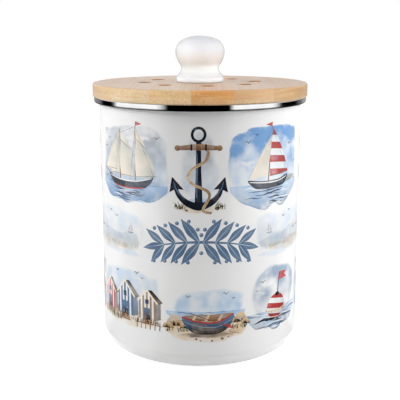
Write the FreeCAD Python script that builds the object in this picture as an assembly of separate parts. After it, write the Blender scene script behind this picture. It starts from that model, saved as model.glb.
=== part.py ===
"""Countertop compost caddy: an enamelled steel bucket with a rolled steel rim, a vented bamboo lid
with a turned knob and a push-fit carbon filter under it. Millimetres, +Z up, the origin at the
middle of the foot, the front of the caddy towards -Y.

Every length below is the real one. A radius is measured from the caddy's own axis, and a share is
a part of the size that it is multiplied by.
"""

import FreeCAD, Part  # noqa: E401

import math
import os
from FreeCAD import Vector

# Bucket shell: pressed sheet steel, enamelled on both faces
wall_radius = 80.0
wall_thickness = 1.0
base_corner_radius = 13.3
foot_ring_width = 6.5
base_rise = 1.8
base_slope_width = 4.0
base_bend_radius = 2.0
flange_rim_gap = 1.1
flange_bend_radius = 1.0

# Rim band: polished stainless strip, rolled over the flange and down inside the mouth
bucket_height = 201.4
rim_sheet = 0.5
rim_fit_gap = 0.05
rim_overhang = 4.2
rim_drop = 4.9
rim_inner_leg = 9.0
rim_mouth_bend_radius = 0.6
rim_upper_bend_radius = 1.0
rim_lower_bend_radius = 1.6
rim_wall_gap = 0.1

# Lid: a turned board of edge-glued bamboo staves
lid_overhang = 0.9
lid_thickness = 10.3
lid_top_rounding = 1.6
lid_bottom_rounding = 0.8
stave_width_share = 0.349
seam_shift_share = -0.0705
seams_left_of_middle = 2
seams_right_of_middle = 2
plug_mouth_gap = 3.25
plug_wall = 17.2
plug_depth = 8.0
plug_chamfer = 0.8

# Vents through the lid
vent_radius = 5.0
vent_chamfer = 0.6
vent_circle_share = 0.757
vent_count = 8
vent_turn_degrees = 7.5

# Seal ring in the plug's groove
groove_depth = 2.5
groove_height = 3.8
groove_above_plug_face = 2.1
seal_side_gap = 0.1
seal_seat_gap = 0.05
seal_proud = 1.0
seal_fin_root = 1.1
seal_fin_tip = 0.6
seal_fin_rise = 1.3
seal_mouth_clearance = 0.3
seal_fin_count = 2

# Knob and its fixing
knob_height = 36.3
knob_crown_arc = 35.0
knob_belly_radius = 19.4
knob_belly_height = 24.0
knob_belly_arc = 16.5
knob_waist_inset = 4.5
knob_waist_height = 11.1
knob_flare_arc = 6.0
knob_foot_radius = 18.8
knob_foot_arc = 3.0
knob_foot_rounding = 1.2
knob_socket_end_gap = 3.0
insert_radius = 4.0
insert_length = 12.0
insert_gap = 0.1
insert_collar_radius = 5.0
insert_collar_thickness = 1.2
screw_radius = 2.0
screw_hole_gap = 0.75
screw_engagement = 9.0
screw_thread_gap = 0.1
screw_head_radius = 4.0
screw_head_height = 2.8
screw_head_rounding = 1.0
screw_slot_width = 1.0
screw_slot_depth = 1.2
washer_radius = 7.5
washer_thickness = 1.0

# Filter recess, cassette and pad
cover_side_clearance = 0.3
cover_flange_width = 3.5
cover_floor = 1.6
cover_skirt_wall = 1.5
cover_roof_gap = 2.2
cover_rib_count = 8
cover_rib_width = 1.6
cover_rib_gap = 0.08
cover_rib_lead = 2.4
slot_first_radius = 11.0
slot_width = 3.2
slot_pitch = 7.0
slot_edge_land = 6.5
slot_spoke_width = 3.4
slot_spoke_count = 3
finger_bar_length = 44.0
finger_bar_width = 5.0
finger_bar_height = 6.0
finger_bar_draft = 1.0
pad_side_gap = 0.3
pad_thickness = 5.6
pad_screw_gap = 1.6
pad_edge_rounding = 0.8

# Cutting tools run past the faces that they cut by this much
overrun = 2.0

AXIS = Vector(0, 0, 1)
CENTRE = Vector(0, 0, 0)
FULL_TURN = 360
HALF = 0.5

# Radii that follow from the wall, outwards to the lid's edge and inwards to the filter
rim_radius = wall_radius + rim_overhang
flange_radius = rim_radius - rim_sheet - flange_rim_gap
lid_radius = rim_radius + lid_overhang
mouth_radius = wall_radius - wall_thickness - rim_fit_gap - rim_sheet
plug_radius = mouth_radius - plug_mouth_gap
recess_radius = plug_radius - plug_wall
vent_circle_radius = recess_radius * vent_circle_share
skirt_radius = recess_radius - cover_side_clearance
tray_radius = skirt_radius - cover_skirt_wall
screw_hole_radius = screw_radius + screw_hole_gap

# Levels that follow from the mouth, up to the lid's top and down to the filter
lid_underside = bucket_height
lid_top = lid_underside + lid_thickness
plug_face = lid_underside - plug_depth
recess_depth = pad_thickness + pad_screw_gap + screw_head_height + washer_thickness
recess_roof = plug_face + recess_depth
cover_bottom = plug_face - cover_floor


def point(r, z):
    """A place in the half plane through the axis: r from the axis, z up."""
    return Vector(r, 0, z)


def revolved(edges):
    """The solid that a closed outline of edges sweeps out round the axis."""
    return Part.Face(Part.Wire(edges)).revolve(CENTRE, AXIS, FULL_TURN)


def line(a, b):
    """A straight edge."""
    return Part.LineSegment(a, b).toShape()


def closed_lines(points):
    """The straight edges of a closed outline."""
    return [line(a, b) for a, b in zip(points, points[1:] + points[:1])]


def rounded_path(points, radii):
    """Edges along points, with an arc of radii[i] at the i-th inner point. A radius of zero is sharp."""
    edges = []
    here = points[0]
    for before, corner, after, radius in zip(points, points[1:], points[2:], radii):
        if radius == 0:
            edges.append(line(here, corner))
            here = corner
            continue
        back = (before - corner).normalize()
        ahead = (after - corner).normalize()
        half_angle = back.getAngle(ahead) * HALF
        reach = radius / math.tan(half_angle)
        start = corner + back * reach
        end = corner + ahead * reach
        to_centre = (back + ahead).normalize()
        middle = corner + to_centre * (radius / math.sin(half_angle) - radius)
        edges.append(line(here, start))
        edges.append(Part.Arc(start, middle, end).toShape())
        here = end
    edges.append(line(here, points[-1]))
    return edges


def left_of(a, b):
    """The unit normal on the left of the way from a to b, seen with r to the right and z up."""
    way = (b - a).normalize()
    return Vector(-way.z, 0, way.x)


def offset_points(points, distance):
    """The polyline at a distance to the left of points, mitred at its corners."""
    normals = [left_of(a, b) for a, b in zip(points, points[1:])]
    moved = [points[0] + normals[0] * distance]
    for corner, n1, n2 in zip(points[1:-1], normals, normals[1:]):
        mitre = (n1 + n2).normalize()
        moved.append(corner + mitre * (distance / mitre.dot(n1)))
    moved.append(points[-1] + normals[-1] * distance)
    return moved


def sheet_section(points, radii, thickness):
    """The outline of a bent sheet: points run along its middle and radii are its middle bends."""
    half = thickness * HALF
    left_radii = []
    right_radii = []
    for before, corner, after, radius in zip(points, points[1:], points[2:], radii):
        turns_left = left_of(before, corner).dot(after - corner) > 0
        left_radii.append(radius - half if turns_left else radius + half)
        right_radii.append(radius + half if turns_left else radius - half)
    left = offset_points(points, half)
    right = offset_points(points, -half)
    there = rounded_path(left, left_radii)
    back = rounded_path(right[::-1], right_radii[::-1])
    return there + [line(left[-1], right[-1])] + back + [line(right[0], left[0])]


def cylinder(radius, bottom, top, x=0.0, y=0.0):
    """An upright cylinder between two heights."""
    return Part.makeCylinder(radius, top - bottom, Vector(x, y, bottom), AXIS)


def cone(bottom_radius, top_radius, bottom, top, x=0.0, y=0.0):
    """An upright cone frustum between two heights."""
    return Part.makeCone(bottom_radius, top_radius, top - bottom, Vector(x, y, bottom), AXIS)


def block(low, high):
    """A box between its lowest and highest corners."""
    size = high - low
    return Part.makeBox(size.x, size.y, size.z, low)


# Bucket


def bucket_shell():
    """Pressed shell: raised base panel, flat foot ring, rounded corner, straight wall, flange."""
    half = wall_thickness * HALF
    middle_radius = wall_radius - half
    foot_outer = wall_radius - base_corner_radius
    foot_inner = foot_outer - foot_ring_width
    flange_level = bucket_height - rim_sheet - half
    points = [
        point(0, base_rise + half),
        point(foot_inner - base_slope_width, base_rise + half),
        point(foot_inner, half),
        point(middle_radius, half),
        point(middle_radius, flange_level),
        point(flange_radius, flange_level),
    ]
    radii = [
        base_bend_radius,
        base_bend_radius,
        base_corner_radius - half,
        flange_bend_radius,
    ]
    return revolved(sheet_section(points, radii, wall_thickness))


def rim_band():
    """Rolled band: a leg inside the mouth, a flat top and a curl down to the outside of the wall."""
    half = rim_sheet * HALF
    inner = mouth_radius + half
    outer = rim_radius - half
    top = bucket_height - half
    curl_level = bucket_height - rim_drop + half
    points = [
        point(inner, bucket_height - rim_inner_leg),
        point(inner, top),
        point(outer, top),
        point(outer, curl_level),
        point(wall_radius + rim_wall_gap, curl_level),
    ]
    radii = [rim_mouth_bend_radius, rim_upper_bend_radius, rim_lower_bend_radius]
    return revolved(sheet_section(points, radii, rim_sheet))


# Lid


def turned_board():
    """The board as it leaves the lathe: rounded rim, plug with its seal groove, filter recess."""
    groove_low = plug_face + groove_above_plug_face
    groove_high = groove_low + groove_height
    groove_radius = plug_radius - groove_depth
    corners = [
        (0, recess_roof, 0),
        (recess_radius, recess_roof, 0),
        (recess_radius, plug_face, 0),
        (plug_radius - plug_chamfer, plug_face, 0),
        (plug_radius, plug_face + plug_chamfer, 0),
        (plug_radius, groove_low, 0),
        (groove_radius, groove_low, 0),
        (groove_radius, groove_high, 0),
        (plug_radius, groove_high, 0),
        (plug_radius, lid_underside, 0),
        (lid_radius, lid_underside, lid_bottom_rounding),
        (lid_radius, lid_top, lid_top_rounding),
        (0, lid_top, 0),
    ]
    points = [point(r, z) for r, z, _ in corners]
    radii = [rounding for _, _, rounding in corners[1:-1]]
    outline = rounded_path(points, radii) + [line(points[-1], points[0])]
    return revolved(outline)


def vent_places():
    """The middles of the vents, evenly spaced on their circle."""
    for k in range(vent_count):
        angle = math.radians(vent_turn_degrees + k * FULL_TURN / vent_count)
        yield vent_circle_radius * math.cos(angle), vent_circle_radius * math.sin(angle)


def drilled_board():
    """The turned board with its vents, their chamfers and the hole for the knob's screw."""
    board = turned_board()
    cutters = [cylinder(screw_hole_radius, recess_roof - overrun, lid_top + overrun)]
    for x, y in vent_places():
        cutters.append(cylinder(vent_radius, recess_roof - overrun, lid_top + overrun, x, y))
        wide = vent_radius + vent_chamfer + overrun
        cutters.append(cone(vent_radius, wide, lid_top - vent_chamfer, lid_top + overrun, x, y))
    return board.cut(cutters)


def seam_places():
    """The glue lines, a stave apart, with the middle one a little to the left of the axis."""
    steps = range(-seams_left_of_middle, seams_right_of_middle + 1)
    return [(seam_shift_share + k * stave_width_share) * lid_radius for k in steps]


def lid_staves():
    """The board parted at its glue lines, from left to right."""
    board = drilled_board()
    reach = lid_radius + overrun
    low = plug_face - overrun
    high = lid_top + overrun
    sides = [-reach] + seam_places() + [reach]
    staves = []
    for left, right in zip(sides, sides[1:]):
        slab = block(Vector(left, -reach, low), Vector(right, reach, high))
        staves.append(board.common(slab))
    return staves


def seal_ring():
    """Silicone ring: a square root in the groove and fins that lean up towards the rim band."""
    low = plug_face + groove_above_plug_face + seal_side_gap
    high = low + groove_height - seal_side_gap - seal_side_gap
    inner = plug_radius - groove_depth + seal_seat_gap
    root = plug_radius + seal_proud
    tip = mouth_radius - seal_mouth_clearance
    points = [point(inner, low), point(root, low)]
    spacing = (high - low) / seal_fin_count
    for k in range(seal_fin_count):
        middle = low + (k + HALF) * spacing
        points.append(point(root, middle - seal_fin_root * HALF))
        points.append(point(tip, middle + seal_fin_rise - seal_fin_tip * HALF))
        points.append(point(tip, middle + seal_fin_rise + seal_fin_tip * HALF))
        points.append(point(root, middle + seal_fin_root * HALF))
    points += [point(root, high), point(inner, high)]
    return revolved(closed_lines(points))


# Knob


def arc(centre, start, end):
    """An arc of under half a turn round a centre."""
    radius = (start - centre).Length
    halfway = (start - centre + end - centre).normalize() * radius
    return Part.Arc(start, centre + halfway, end).toShape()


def towards(a, b, distance):
    """The place at a distance from a on the way to b."""
    return a + (b - a).normalize() * distance


def knob_side():
    """The knob's side from the middle of its crown to the foot, in arcs that meet tangentially."""
    waist_radius = knob_belly_radius - knob_waist_inset
    belly_level = lid_top + knob_belly_height
    waist_level = lid_top + knob_waist_height
    crown_centre = point(0, lid_top + knob_height - knob_crown_arc)

    # The shoulder's arc touches the crown's from inside and ends upright at the belly
    rise = belly_level - crown_centre.z
    shoulder_arc = (knob_crown_arc**2 - knob_belly_radius**2 - rise**2) * HALF
    shoulder_arc /= knob_crown_arc - knob_belly_radius
    shoulder_centre = point(knob_belly_radius - shoulder_arc, belly_level)

    # The waist's arc is upright at the waist and touches the belly's lower arc from outside
    drop = belly_level - waist_level
    waist_arc = (knob_waist_inset**2 + drop**2) * HALF / knob_waist_inset - knob_belly_arc
    belly_centre = point(knob_belly_radius - knob_belly_arc, belly_level)
    waist_centre = point(waist_radius + waist_arc, waist_level)

    # The flare runs out from the waist and turns down into the foot's edge
    flare_centre = point(waist_radius + knob_flare_arc, waist_level)
    reach = knob_flare_arc + knob_foot_arc
    across = flare_centre.x - knob_foot_radius + knob_foot_arc
    foot_level = waist_level - math.sqrt(reach**2 - across**2)
    foot_centre = point(knob_foot_radius - knob_foot_arc, foot_level)

    crown = point(0, lid_top + knob_height)
    brow = towards(crown_centre, shoulder_centre, knob_crown_arc)
    belly = point(knob_belly_radius, belly_level)
    hip = towards(belly_centre, waist_centre, knob_belly_arc)
    waist = point(waist_radius, waist_level)
    instep = towards(flare_centre, foot_centre, knob_flare_arc)
    foot = point(knob_foot_radius, foot_level)
    edges = [
        arc(crown_centre, crown, brow),
        arc(shoulder_centre, brow, belly),
        arc(belly_centre, belly, hip),
        arc(waist_centre, hip, waist),
        arc(flare_centre, waist, instep),
        arc(foot_centre, instep, foot),
    ]
    return edges, foot


def knob():
    """Turned knob: domed head, drawn-in waist, flared foot, and a blind socket for the insert."""
    side, foot = knob_side()
    crown = point(0, lid_top + knob_height)
    socket_top = lid_top + insert_length + knob_socket_end_gap
    socket_radius = insert_radius + insert_gap
    collar_radius = insert_collar_radius + insert_gap
    collar_top = lid_top + insert_collar_thickness + insert_gap
    inside = [
        foot,
        point(knob_foot_radius, lid_top),
        point(collar_radius, lid_top),
        point(collar_radius, collar_top),
        point(socket_radius, collar_top),
        point(socket_radius, socket_top),
        point(0, socket_top),
        crown,
    ]
    radii = [knob_foot_rounding] + [0] * (len(inside) - 3)
    return revolved(side + rounded_path(inside, radii))


def knob_insert():
    """Brass insert, cemented in the knob's socket, with a collar at its mouth."""
    body = cylinder(insert_radius, lid_top, lid_top + insert_length)
    collar = cylinder(insert_collar_radius, lid_top, lid_top + insert_collar_thickness)
    bore = cylinder(screw_radius + screw_thread_gap, lid_top - overrun, lid_top + insert_length + overrun)
    return body.fuse(collar).cut(bore).removeSplitter()


def knob_washer():
    """Flat washer against the roof of the filter recess."""
    top = recess_roof
    bottom = top - washer_thickness
    return cylinder(washer_radius, bottom, top).cut(
        cylinder(screw_hole_radius, bottom - overrun, top + overrun)
    )


def knob_screw():
    """Pan-head machine screw, up through the washer and the board into the insert."""
    seat = recess_roof - washer_thickness
    bottom = seat - screw_head_height
    top = lid_top + screw_engagement
    corners = [
        (0, bottom, 0),
        (screw_head_radius, bottom, screw_head_rounding),
        (screw_head_radius, seat, 0),
        (screw_radius, seat, 0),
        (screw_radius, top, 0),
        (0, top, 0),
    ]
    points = [point(r, z) for r, z, _ in corners]
    radii = [rounding for _, _, rounding in corners[1:-1]]
    screw = revolved(rounded_path(points, radii) + [line(points[-1], points[0])])
    half = screw_slot_width * HALF
    reach = screw_head_radius + overrun
    slot = block(Vector(-reach, -half, bottom - overrun), Vector(reach, half, bottom + screw_slot_depth))
    return screw.cut(slot)


# Filter cassette


def arc_slots():
    """Rings of arc-shaped slots through the cover's floor, parted by straight spokes."""
    low = cover_bottom - overrun
    high = plug_face + overrun
    rings = []
    inner = slot_first_radius
    while inner + slot_width < tray_radius - slot_edge_land:
        rings.append(cylinder(inner + slot_width, low, high).cut(cylinder(inner, low, high)))
        inner += slot_pitch
    half = slot_spoke_width * HALF
    reach = recess_radius + overrun
    spoke = block(Vector(-reach, -half, low - overrun), Vector(reach, half, high + overrun))
    spokes = []
    for k in range(slot_spoke_count):
        turned = spoke.copy()
        turned.rotate(CENTRE, AXIS, k * FULL_TURN * HALF / slot_spoke_count)
        spokes.append(turned)
    return [ring.cut(spokes) for ring in rings]


def finger_bar():
    """Tapered bar under the floor, for pulling the cassette out."""
    top_half_length = finger_bar_length * HALF
    top_half_width = finger_bar_width * HALF
    low = cover_bottom - finger_bar_height

    def rectangle(shrink, z):
        x = top_half_length - shrink
        y = top_half_width - shrink
        corners = [Vector(-x, -y, z), Vector(x, -y, z), Vector(x, y, z), Vector(-x, y, z)]
        return Part.makePolygon(corners + corners[:1])

    return Part.makeLoft([rectangle(finger_bar_draft, low), rectangle(0, cover_bottom)], True, True)


def crush_ribs(skirt_top):
    """Upright ribs on the skirt that grip the recess, each tapered to nothing at its upper end."""
    tip = recess_radius - cover_rib_gap
    root = skirt_radius - cover_skirt_wall * HALF
    profile = [
        point(root, plug_face),
        point(tip, plug_face),
        point(tip, skirt_top - cover_rib_lead),
        point(skirt_radius - cover_side_clearance, skirt_top),
        point(root, skirt_top),
    ]
    ring = revolved(closed_lines(profile))
    half = cover_rib_width * HALF
    slab = block(Vector(root - overrun, -half, cover_bottom), Vector(recess_radius + overrun, half, recess_roof))
    rib = ring.common(slab)
    ribs = []
    for k in range(cover_rib_count):
        turned = rib.copy()
        turned.rotate(CENTRE, AXIS, (k + HALF) * FULL_TURN / cover_rib_count)
        ribs.append(turned)
    return ribs


def filter_cover():
    """Push-fit tray: a flange against the plug, a ribbed skirt, a slotted floor and a finger bar."""
    flange_edge = recess_radius + cover_flange_width
    skirt_top = recess_roof - cover_roof_gap
    points = [
        point(0, cover_bottom),
        point(flange_edge, cover_bottom),
        point(flange_edge, plug_face),
        point(skirt_radius, plug_face),
        point(skirt_radius, skirt_top),
        point(tray_radius, skirt_top),
        point(tray_radius, plug_face),
        point(0, plug_face),
    ]
    tray = revolved(closed_lines(points))
    return tray.cut(arc_slots()).fuse(crush_ribs(skirt_top) + [finger_bar()]).removeSplitter()


def filter_pad():
    """Activated-carbon pad, lying on the tray's floor."""
    radius = tray_radius - pad_side_gap
    top = plug_face + pad_thickness
    corners = [
        (0, plug_face, 0),
        (radius, plug_face, 0),
        (radius, top, pad_edge_rounding),
        (0, top, 0),
    ]
    points = [point(r, z) for r, z, _ in corners]
    radii = [rounding for _, _, rounding in corners[1:-1]]
    return revolved(rounded_path(points, radii) + [line(points[-1], points[0])])


def main():
    """Builds every piece and writes one STEP file for each."""
    pieces = {
        "bucket_shell": bucket_shell(),
        "rim_band": rim_band(),
        "seal_ring": seal_ring(),
        "knob": knob(),
        "knob_insert": knob_insert(),
        "knob_washer": knob_washer(),
        "knob_screw": knob_screw(),
        "filter_cover": filter_cover(),
        "filter_pad": filter_pad(),
    }
    for number, stave in enumerate(lid_staves(), start=1):
        pieces[f"lid_stave_{number}"] = stave
    os.makedirs("parts", exist_ok=True)
    for name, shape in pieces.items():
        shape.exportStep(os.path.join("parts", name + ".step"))
        print(name, len(shape.Solids), shape.isValid(), round(shape.Volume))


main()
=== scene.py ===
"""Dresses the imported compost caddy: its finishes, the fired print, the felt pad, the studio.

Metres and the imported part's own frame throughout: +Z up, the front towards -Y.
"""

import logging
import random
from dataclasses import dataclass, field
from enum import Enum
from functools import cache
from math import copysign, cos, pi, radians, sin
from typing import Iterable, Sequence

import bmesh
import bpy
import numpy as np
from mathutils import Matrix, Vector, noise
from mathutils.geometry import delaunay_2d_cdt


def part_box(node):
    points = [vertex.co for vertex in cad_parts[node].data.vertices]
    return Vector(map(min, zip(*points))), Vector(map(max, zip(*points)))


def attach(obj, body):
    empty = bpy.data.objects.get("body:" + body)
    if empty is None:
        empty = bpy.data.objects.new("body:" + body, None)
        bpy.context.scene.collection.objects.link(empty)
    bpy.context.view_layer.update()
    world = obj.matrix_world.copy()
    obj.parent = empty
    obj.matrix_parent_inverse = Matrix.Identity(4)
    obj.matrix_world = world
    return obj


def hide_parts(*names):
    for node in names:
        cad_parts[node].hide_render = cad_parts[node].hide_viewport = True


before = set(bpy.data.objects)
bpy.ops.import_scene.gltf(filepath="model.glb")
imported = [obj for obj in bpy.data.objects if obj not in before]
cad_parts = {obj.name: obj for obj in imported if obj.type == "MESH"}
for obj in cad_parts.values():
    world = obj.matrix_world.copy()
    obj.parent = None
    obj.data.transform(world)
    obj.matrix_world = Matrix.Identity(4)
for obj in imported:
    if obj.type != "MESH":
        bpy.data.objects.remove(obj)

logging.basicConfig(level=logging.INFO, format="%(message)s")
log = logging.getLogger("caddy")

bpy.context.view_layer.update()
MM = 0.001

Colour = tuple[float, float, float]
Place = tuple[float, float, float]
Point = tuple[float, float]
Array = np.ndarray
Material = bpy.types.Material
Node = bpy.types.Node
Object = bpy.types.Object
Socket = bpy.types.NodeSocket
Tree = bpy.types.NodeTree


def srgb(red: int, green: int, blue: int) -> Colour:
    """Turns a paint chip's 8-bit colour into the linear colour that shaders use.

    Args:
        red: red from 0 to 255.
        green: green from 0 to 255.
        blue: blue from 0 to 255.

    Returns:
        The linear colour.
    """
    def linear(level: int) -> float:
        """One channel, by the sRGB curve."""
        share = level / 255
        return share / 12.92 if share <= 0.04045 else ((share + 0.055) / 1.055) ** 2.4

    return linear(red), linear(green), linear(blue)


def opaque(colour: Colour) -> tuple[float, float, float, float]:
    """The colour with a full alpha, as colour sockets take it."""
    return (*colour, 1.0)


def dimmed(colour: Colour, share: float) -> Colour:
    """The colour with its light cut down to a share."""
    return tuple(level * share for level in colour)


class Graph:
    """A node tree with short calls for adding nodes and joining sockets."""

    def __init__(self, tree: Tree) -> None:
        """Keeps the tree that the nodes go into."""
        self.tree = tree

    def feed(self, node: Node, inputs: dict) -> None:
        """Gives each of a node's inputs, by its name or number, a value or another node's socket."""
        for key, value in inputs.items():
            if isinstance(value, Socket):
                self.tree.links.new(value, node.inputs[key])
            else:
                node.inputs[key].default_value = value

    def node(self, kind: str, inputs: dict | None = None, **settings: object) -> Node:
        """Adds a node.

        Args:
            kind: the node's type name.
            inputs: value or socket for each input, by its name or number.
            settings: the node's own properties.

        Returns:
            The new node.
        """
        made = self.tree.nodes.new(kind)
        for name, value in settings.items():
            setattr(made, name, value)
        self.feed(made, inputs or {})
        return made

    def maths(self, operation: str, *values: object, clamp: bool = False) -> Socket:
        """A Math node's result for the values or sockets given."""
        inputs = dict(enumerate(values))
        return self.node("ShaderNodeMath", inputs, operation=operation, use_clamp=clamp).outputs[0]

    def times(self, first: object, second: object) -> Socket:
        """The product of two values or sockets."""
        return self.maths("MULTIPLY", first, second)

    def vector(self, operation: str, *values: object, output: str = "Vector") -> Socket:
        """A Vector Math node's result, which is a vector unless its Value is asked for."""
        inputs = dict(enumerate(values))
        return self.node("ShaderNodeVectorMath", inputs, operation=operation).outputs[output]

    def spread(self, value: object, low: object, high: object, to_low: object = 0.0,
               to_high: object = 1.0) -> Socket:
        """Maps a value from one range to another and holds it there."""
        names = ("Value", "From Min", "From Max", "To Min", "To Max")
        inputs = dict(zip(names, (value, low, high, to_low, to_high)))
        return self.node("ShaderNodeMapRange", inputs, clamp=True).outputs["Result"]

    def mix(self, share: object, first: object, second: object, blend: str = "MIX") -> Socket:
        """A colour mixed from two, by a share; each of them is a value or a socket."""
        pair = [given if isinstance(given, Socket) else opaque(given) for given in (first, second)]
        inputs = {0: share, 6: pair[0], 7: pair[1]}
        settings = {"data_type": "RGBA", "blend_type": blend, "clamp_factor": True}
        return self.node("ShaderNodeMix", inputs, **settings).outputs[2]

    def layered(self, ground: object, layers: Iterable[tuple[object, object]]) -> Socket:
        """A colour with others laid over it in turn, each by a share of its own."""
        for share, colour in layers:
            ground = self.mix(share, ground, colour)
        return ground

    def noise(self, place: Socket, scale: object, detail: float = 2.0, roughness: float = 0.5) -> Socket:
        """A Noise Texture's value, from 0 to 1."""
        inputs = {"Vector": place, "Scale": scale, "Detail": detail, "Roughness": roughness}
        return self.node("ShaderNodeTexNoise", inputs, noise_dimensions="3D").outputs["Fac"]

    def cells(self, place: Socket, scale: float, randomness: float) -> Sequence[Socket]:
        """A Voronoi Texture's outputs, among them each cell's Distance and Color."""
        inputs = {"Vector": place, "Scale": scale, "Randomness": randomness}
        return self.node("ShaderNodeTexVoronoi", inputs, feature="F1").outputs

    def stretched(self, place: Socket, x: float, y: float, z: float) -> Socket:
        """A position scaled by axis, so that a pattern becomes longer where the scale is small."""
        return self.vector("MULTIPLY", place, (x, y, z))

    def group(self, tree: Tree, inputs: dict) -> Sequence[Socket]:
        """The outputs of a node group that is placed with its own values."""
        return self.node("ShaderNodeGroup", inputs, node_tree=tree).outputs

    def place(self) -> Socket:
        """The position in the piece's own frame."""
        return self.node("ShaderNodeTexCoord").outputs["Object"]

    def parts(self, place: Socket) -> Sequence[Socket]:
        """A position's X, Y and Z."""
        return self.node("ShaderNodeSeparateXYZ", {"Vector": place}).outputs

    def joined(self, **parts: object) -> Socket:
        """A vector from its X, Y and Z, where each one left out is 0."""
        return self.node("ShaderNodeCombineXYZ", parts).outputs[0]

    def flat(self, place: Socket) -> Socket:
        """A position brought down to the floor."""
        return self.vector("MULTIPLY", place, (1, 1, 0))

    def reach(self, place: Socket) -> Socket:
        """A position's distance from the caddy's axis."""
        return self.vector("LENGTH", self.flat(place), output="Value")


class GroupBuilder:
    """Makes a shader node group with named inputs and outputs."""

    def __init__(self, name: str) -> None:
        """Starts an empty group of that name."""
        self.tree = bpy.data.node_groups.new(name, "ShaderNodeTree")
        self.graph = Graph(self.tree)
        self.entry = self.tree.nodes.new("NodeGroupInput")
        self.exit = self.tree.nodes.new("NodeGroupOutput")

    def takes(self, name: str, default: float | None = None) -> Socket:
        """Adds an input, a position if it has no default, and gives the socket to read it from."""
        kind = "NodeSocketVector" if default is None else "NodeSocketFloat"
        made = self.tree.interface.new_socket(name=name, in_out="INPUT", socket_type=kind)
        if default is not None:
            made.default_value = default
        return self.entry.outputs[name]

    def gives(self, **values: Socket) -> Tree:
        """Adds an output for each value, under its name, and gives the finished group."""
        for name, value in values.items():
            self.tree.interface.new_socket(name=name, in_out="OUTPUT", socket_type="NodeSocketFloat")
            self.tree.links.new(value, self.exit.inputs[name])
        return self.tree


@cache
def ripple_group() -> Tree:
    """The slow ripple of a fired or moulded skin: a height, and a gloss that varies with it."""
    group = GroupBuilder("skin_ripple")
    place = group.takes("Place")
    size = group.takes("Ripples per Metre", 250.0)
    fine_size = group.takes("Specks per Metre", 2500.0)
    smooth, rough = group.takes("Smoothest", 0.08), group.takes("Roughest", 0.16)
    graph = group.graph
    slow = graph.noise(place, size, detail=1.0)
    height = graph.maths("ADD", slow, graph.times(graph.noise(place, fine_size), 0.12))
    patches = graph.noise(place, 45.0, detail=3.0)
    return group.gives(Height=height, Roughness=graph.spread(patches, 0.35, 0.65, smooth, rough))


@cache
def turning_group() -> Tree:
    """Fine rings round the Z axis that polishing or turning leaves: a height and a roughness."""
    group = GroupBuilder("turning_lines")
    place = group.takes("Place")
    lines = group.takes("Lines per Metre", 4000.0)
    smooth, rough = group.takes("Smoothest", 0.04), group.takes("Roughest", 0.12)
    graph = group.graph
    rings = graph.joined(X=graph.reach(place), Y=graph.parts(place)["Z"])
    wear = graph.noise(place, 60.0, detail=4.0, roughness=0.6)
    roughness = graph.spread(wear, 0.35, 0.7, smooth, rough)
    return group.gives(Height=graph.noise(rings, lines), Roughness=roughness)


@cache
def fibre_group() -> Tree:
    """Bamboo's fibre bundles along Y: dots on an end, streaks on a face, and a slow change of tone."""
    group = GroupBuilder("bamboo_fibres")
    place = group.takes("Place")
    seed = group.takes("Seed", 0.0)
    graph = group.graph
    moved = graph.vector("ADD", place, graph.joined(X=seed, Z=seed))
    drift = graph.noise(graph.stretched(moved, 20.0, 6.0, 20.0), 1.0, detail=1.0)
    swayed = graph.vector("ADD", moved, graph.joined(X=graph.times(drift, 1.6 * MM)))
    cells = graph.cells(graph.stretched(swayed, 1.0, 0.022, 1.0), 820.0, 0.95)
    dot = graph.spread(cells["Distance"], 0.14, 0.44, 1.0, 0.0)
    wide = graph.noise(graph.stretched(swayed, 1.0, 0.03, 1.0), 240.0)
    bundles = graph.times(dot, graph.spread(wide, 0.38, 0.66, 0.12, 1.0))
    streaks = graph.noise(graph.stretched(swayed, 1.0, 0.012, 1.0), 700.0, detail=4.0, roughness=0.65)
    tone = graph.noise(graph.stretched(moved, 1.0, 0.12, 1.0), 55.0)
    spots = graph.cells(graph.stretched(swayed, 1.0, 0.03, 1.0), 430.0, 1.0)
    chosen = graph.spread(graph.parts(spots["Color"])["X"], 0.6, 0.7)
    specks = graph.times(graph.spread(spots["Distance"], 0.1, 0.22, 1.0, 0.0), chosen)
    return group.gives(Bundles=bundles, Specks=specks, Streaks=streaks, Tone=tone)


def new_material(name: str) -> tuple[Material, Graph, Node]:
    """Starts a material.

    Args:
        name: the material's name.

    Returns:
        The material, its graph and its Principled shader.
    """
    material = bpy.data.materials.new(name)
    material.use_nodes = True
    return material, Graph(material.node_tree), material.node_tree.nodes["Principled BSDF"]


def new_object(name: str, data: bpy.types.ID) -> Object:
    """Adds an object to the scene."""
    made = bpy.data.objects.new(name, data)
    bpy.context.scene.collection.objects.link(made)
    return made


def raise_surface(graph: Graph, shader: Node, height: Socket, depth: float) -> None:
    """Bumps the shader's surface by a height, where depth is the height of a value of 1."""
    bump = graph.node("ShaderNodeBump", {"Height": height, "Strength": 1.0, "Distance": depth})
    graph.feed(shader, {"Normal": bump.outputs["Normal"]})


@dataclass(frozen=True)
class Finish:
    """What every finish shares.

    Attributes:
        name: the material's name.
        colour: the material's colour.
        smoothest: roughness where it is smoothest.
        roughest: roughness where it is roughest.
    """

    name: str
    colour: Colour
    smoothest: float = 0.07
    roughest: float = 0.13

    def ripple(self, graph: Graph, shader: Node, place: Socket, per_metre: Point,
               depth: float) -> None:
        """Gives a shader a skin's ripple and its gloss, which varies.

        Args:
            graph: the material's graph.
            shader: its shader.
            place: the position.
            per_metre: how close the ripples lie, and the specks on them.
            depth: how deep the ripple is.
        """
        skin = graph.group(ripple_group(), {
            "Place": place,
            "Ripples per Metre": per_metre[0],
            "Specks per Metre": per_metre[1],
            "Smoothest": self.smoothest,
            "Roughest": self.roughest,
        })
        graph.feed(shader, {"Roughness": skin["Roughness"]})
        raise_surface(graph, shader, skin["Height"], depth)


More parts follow.
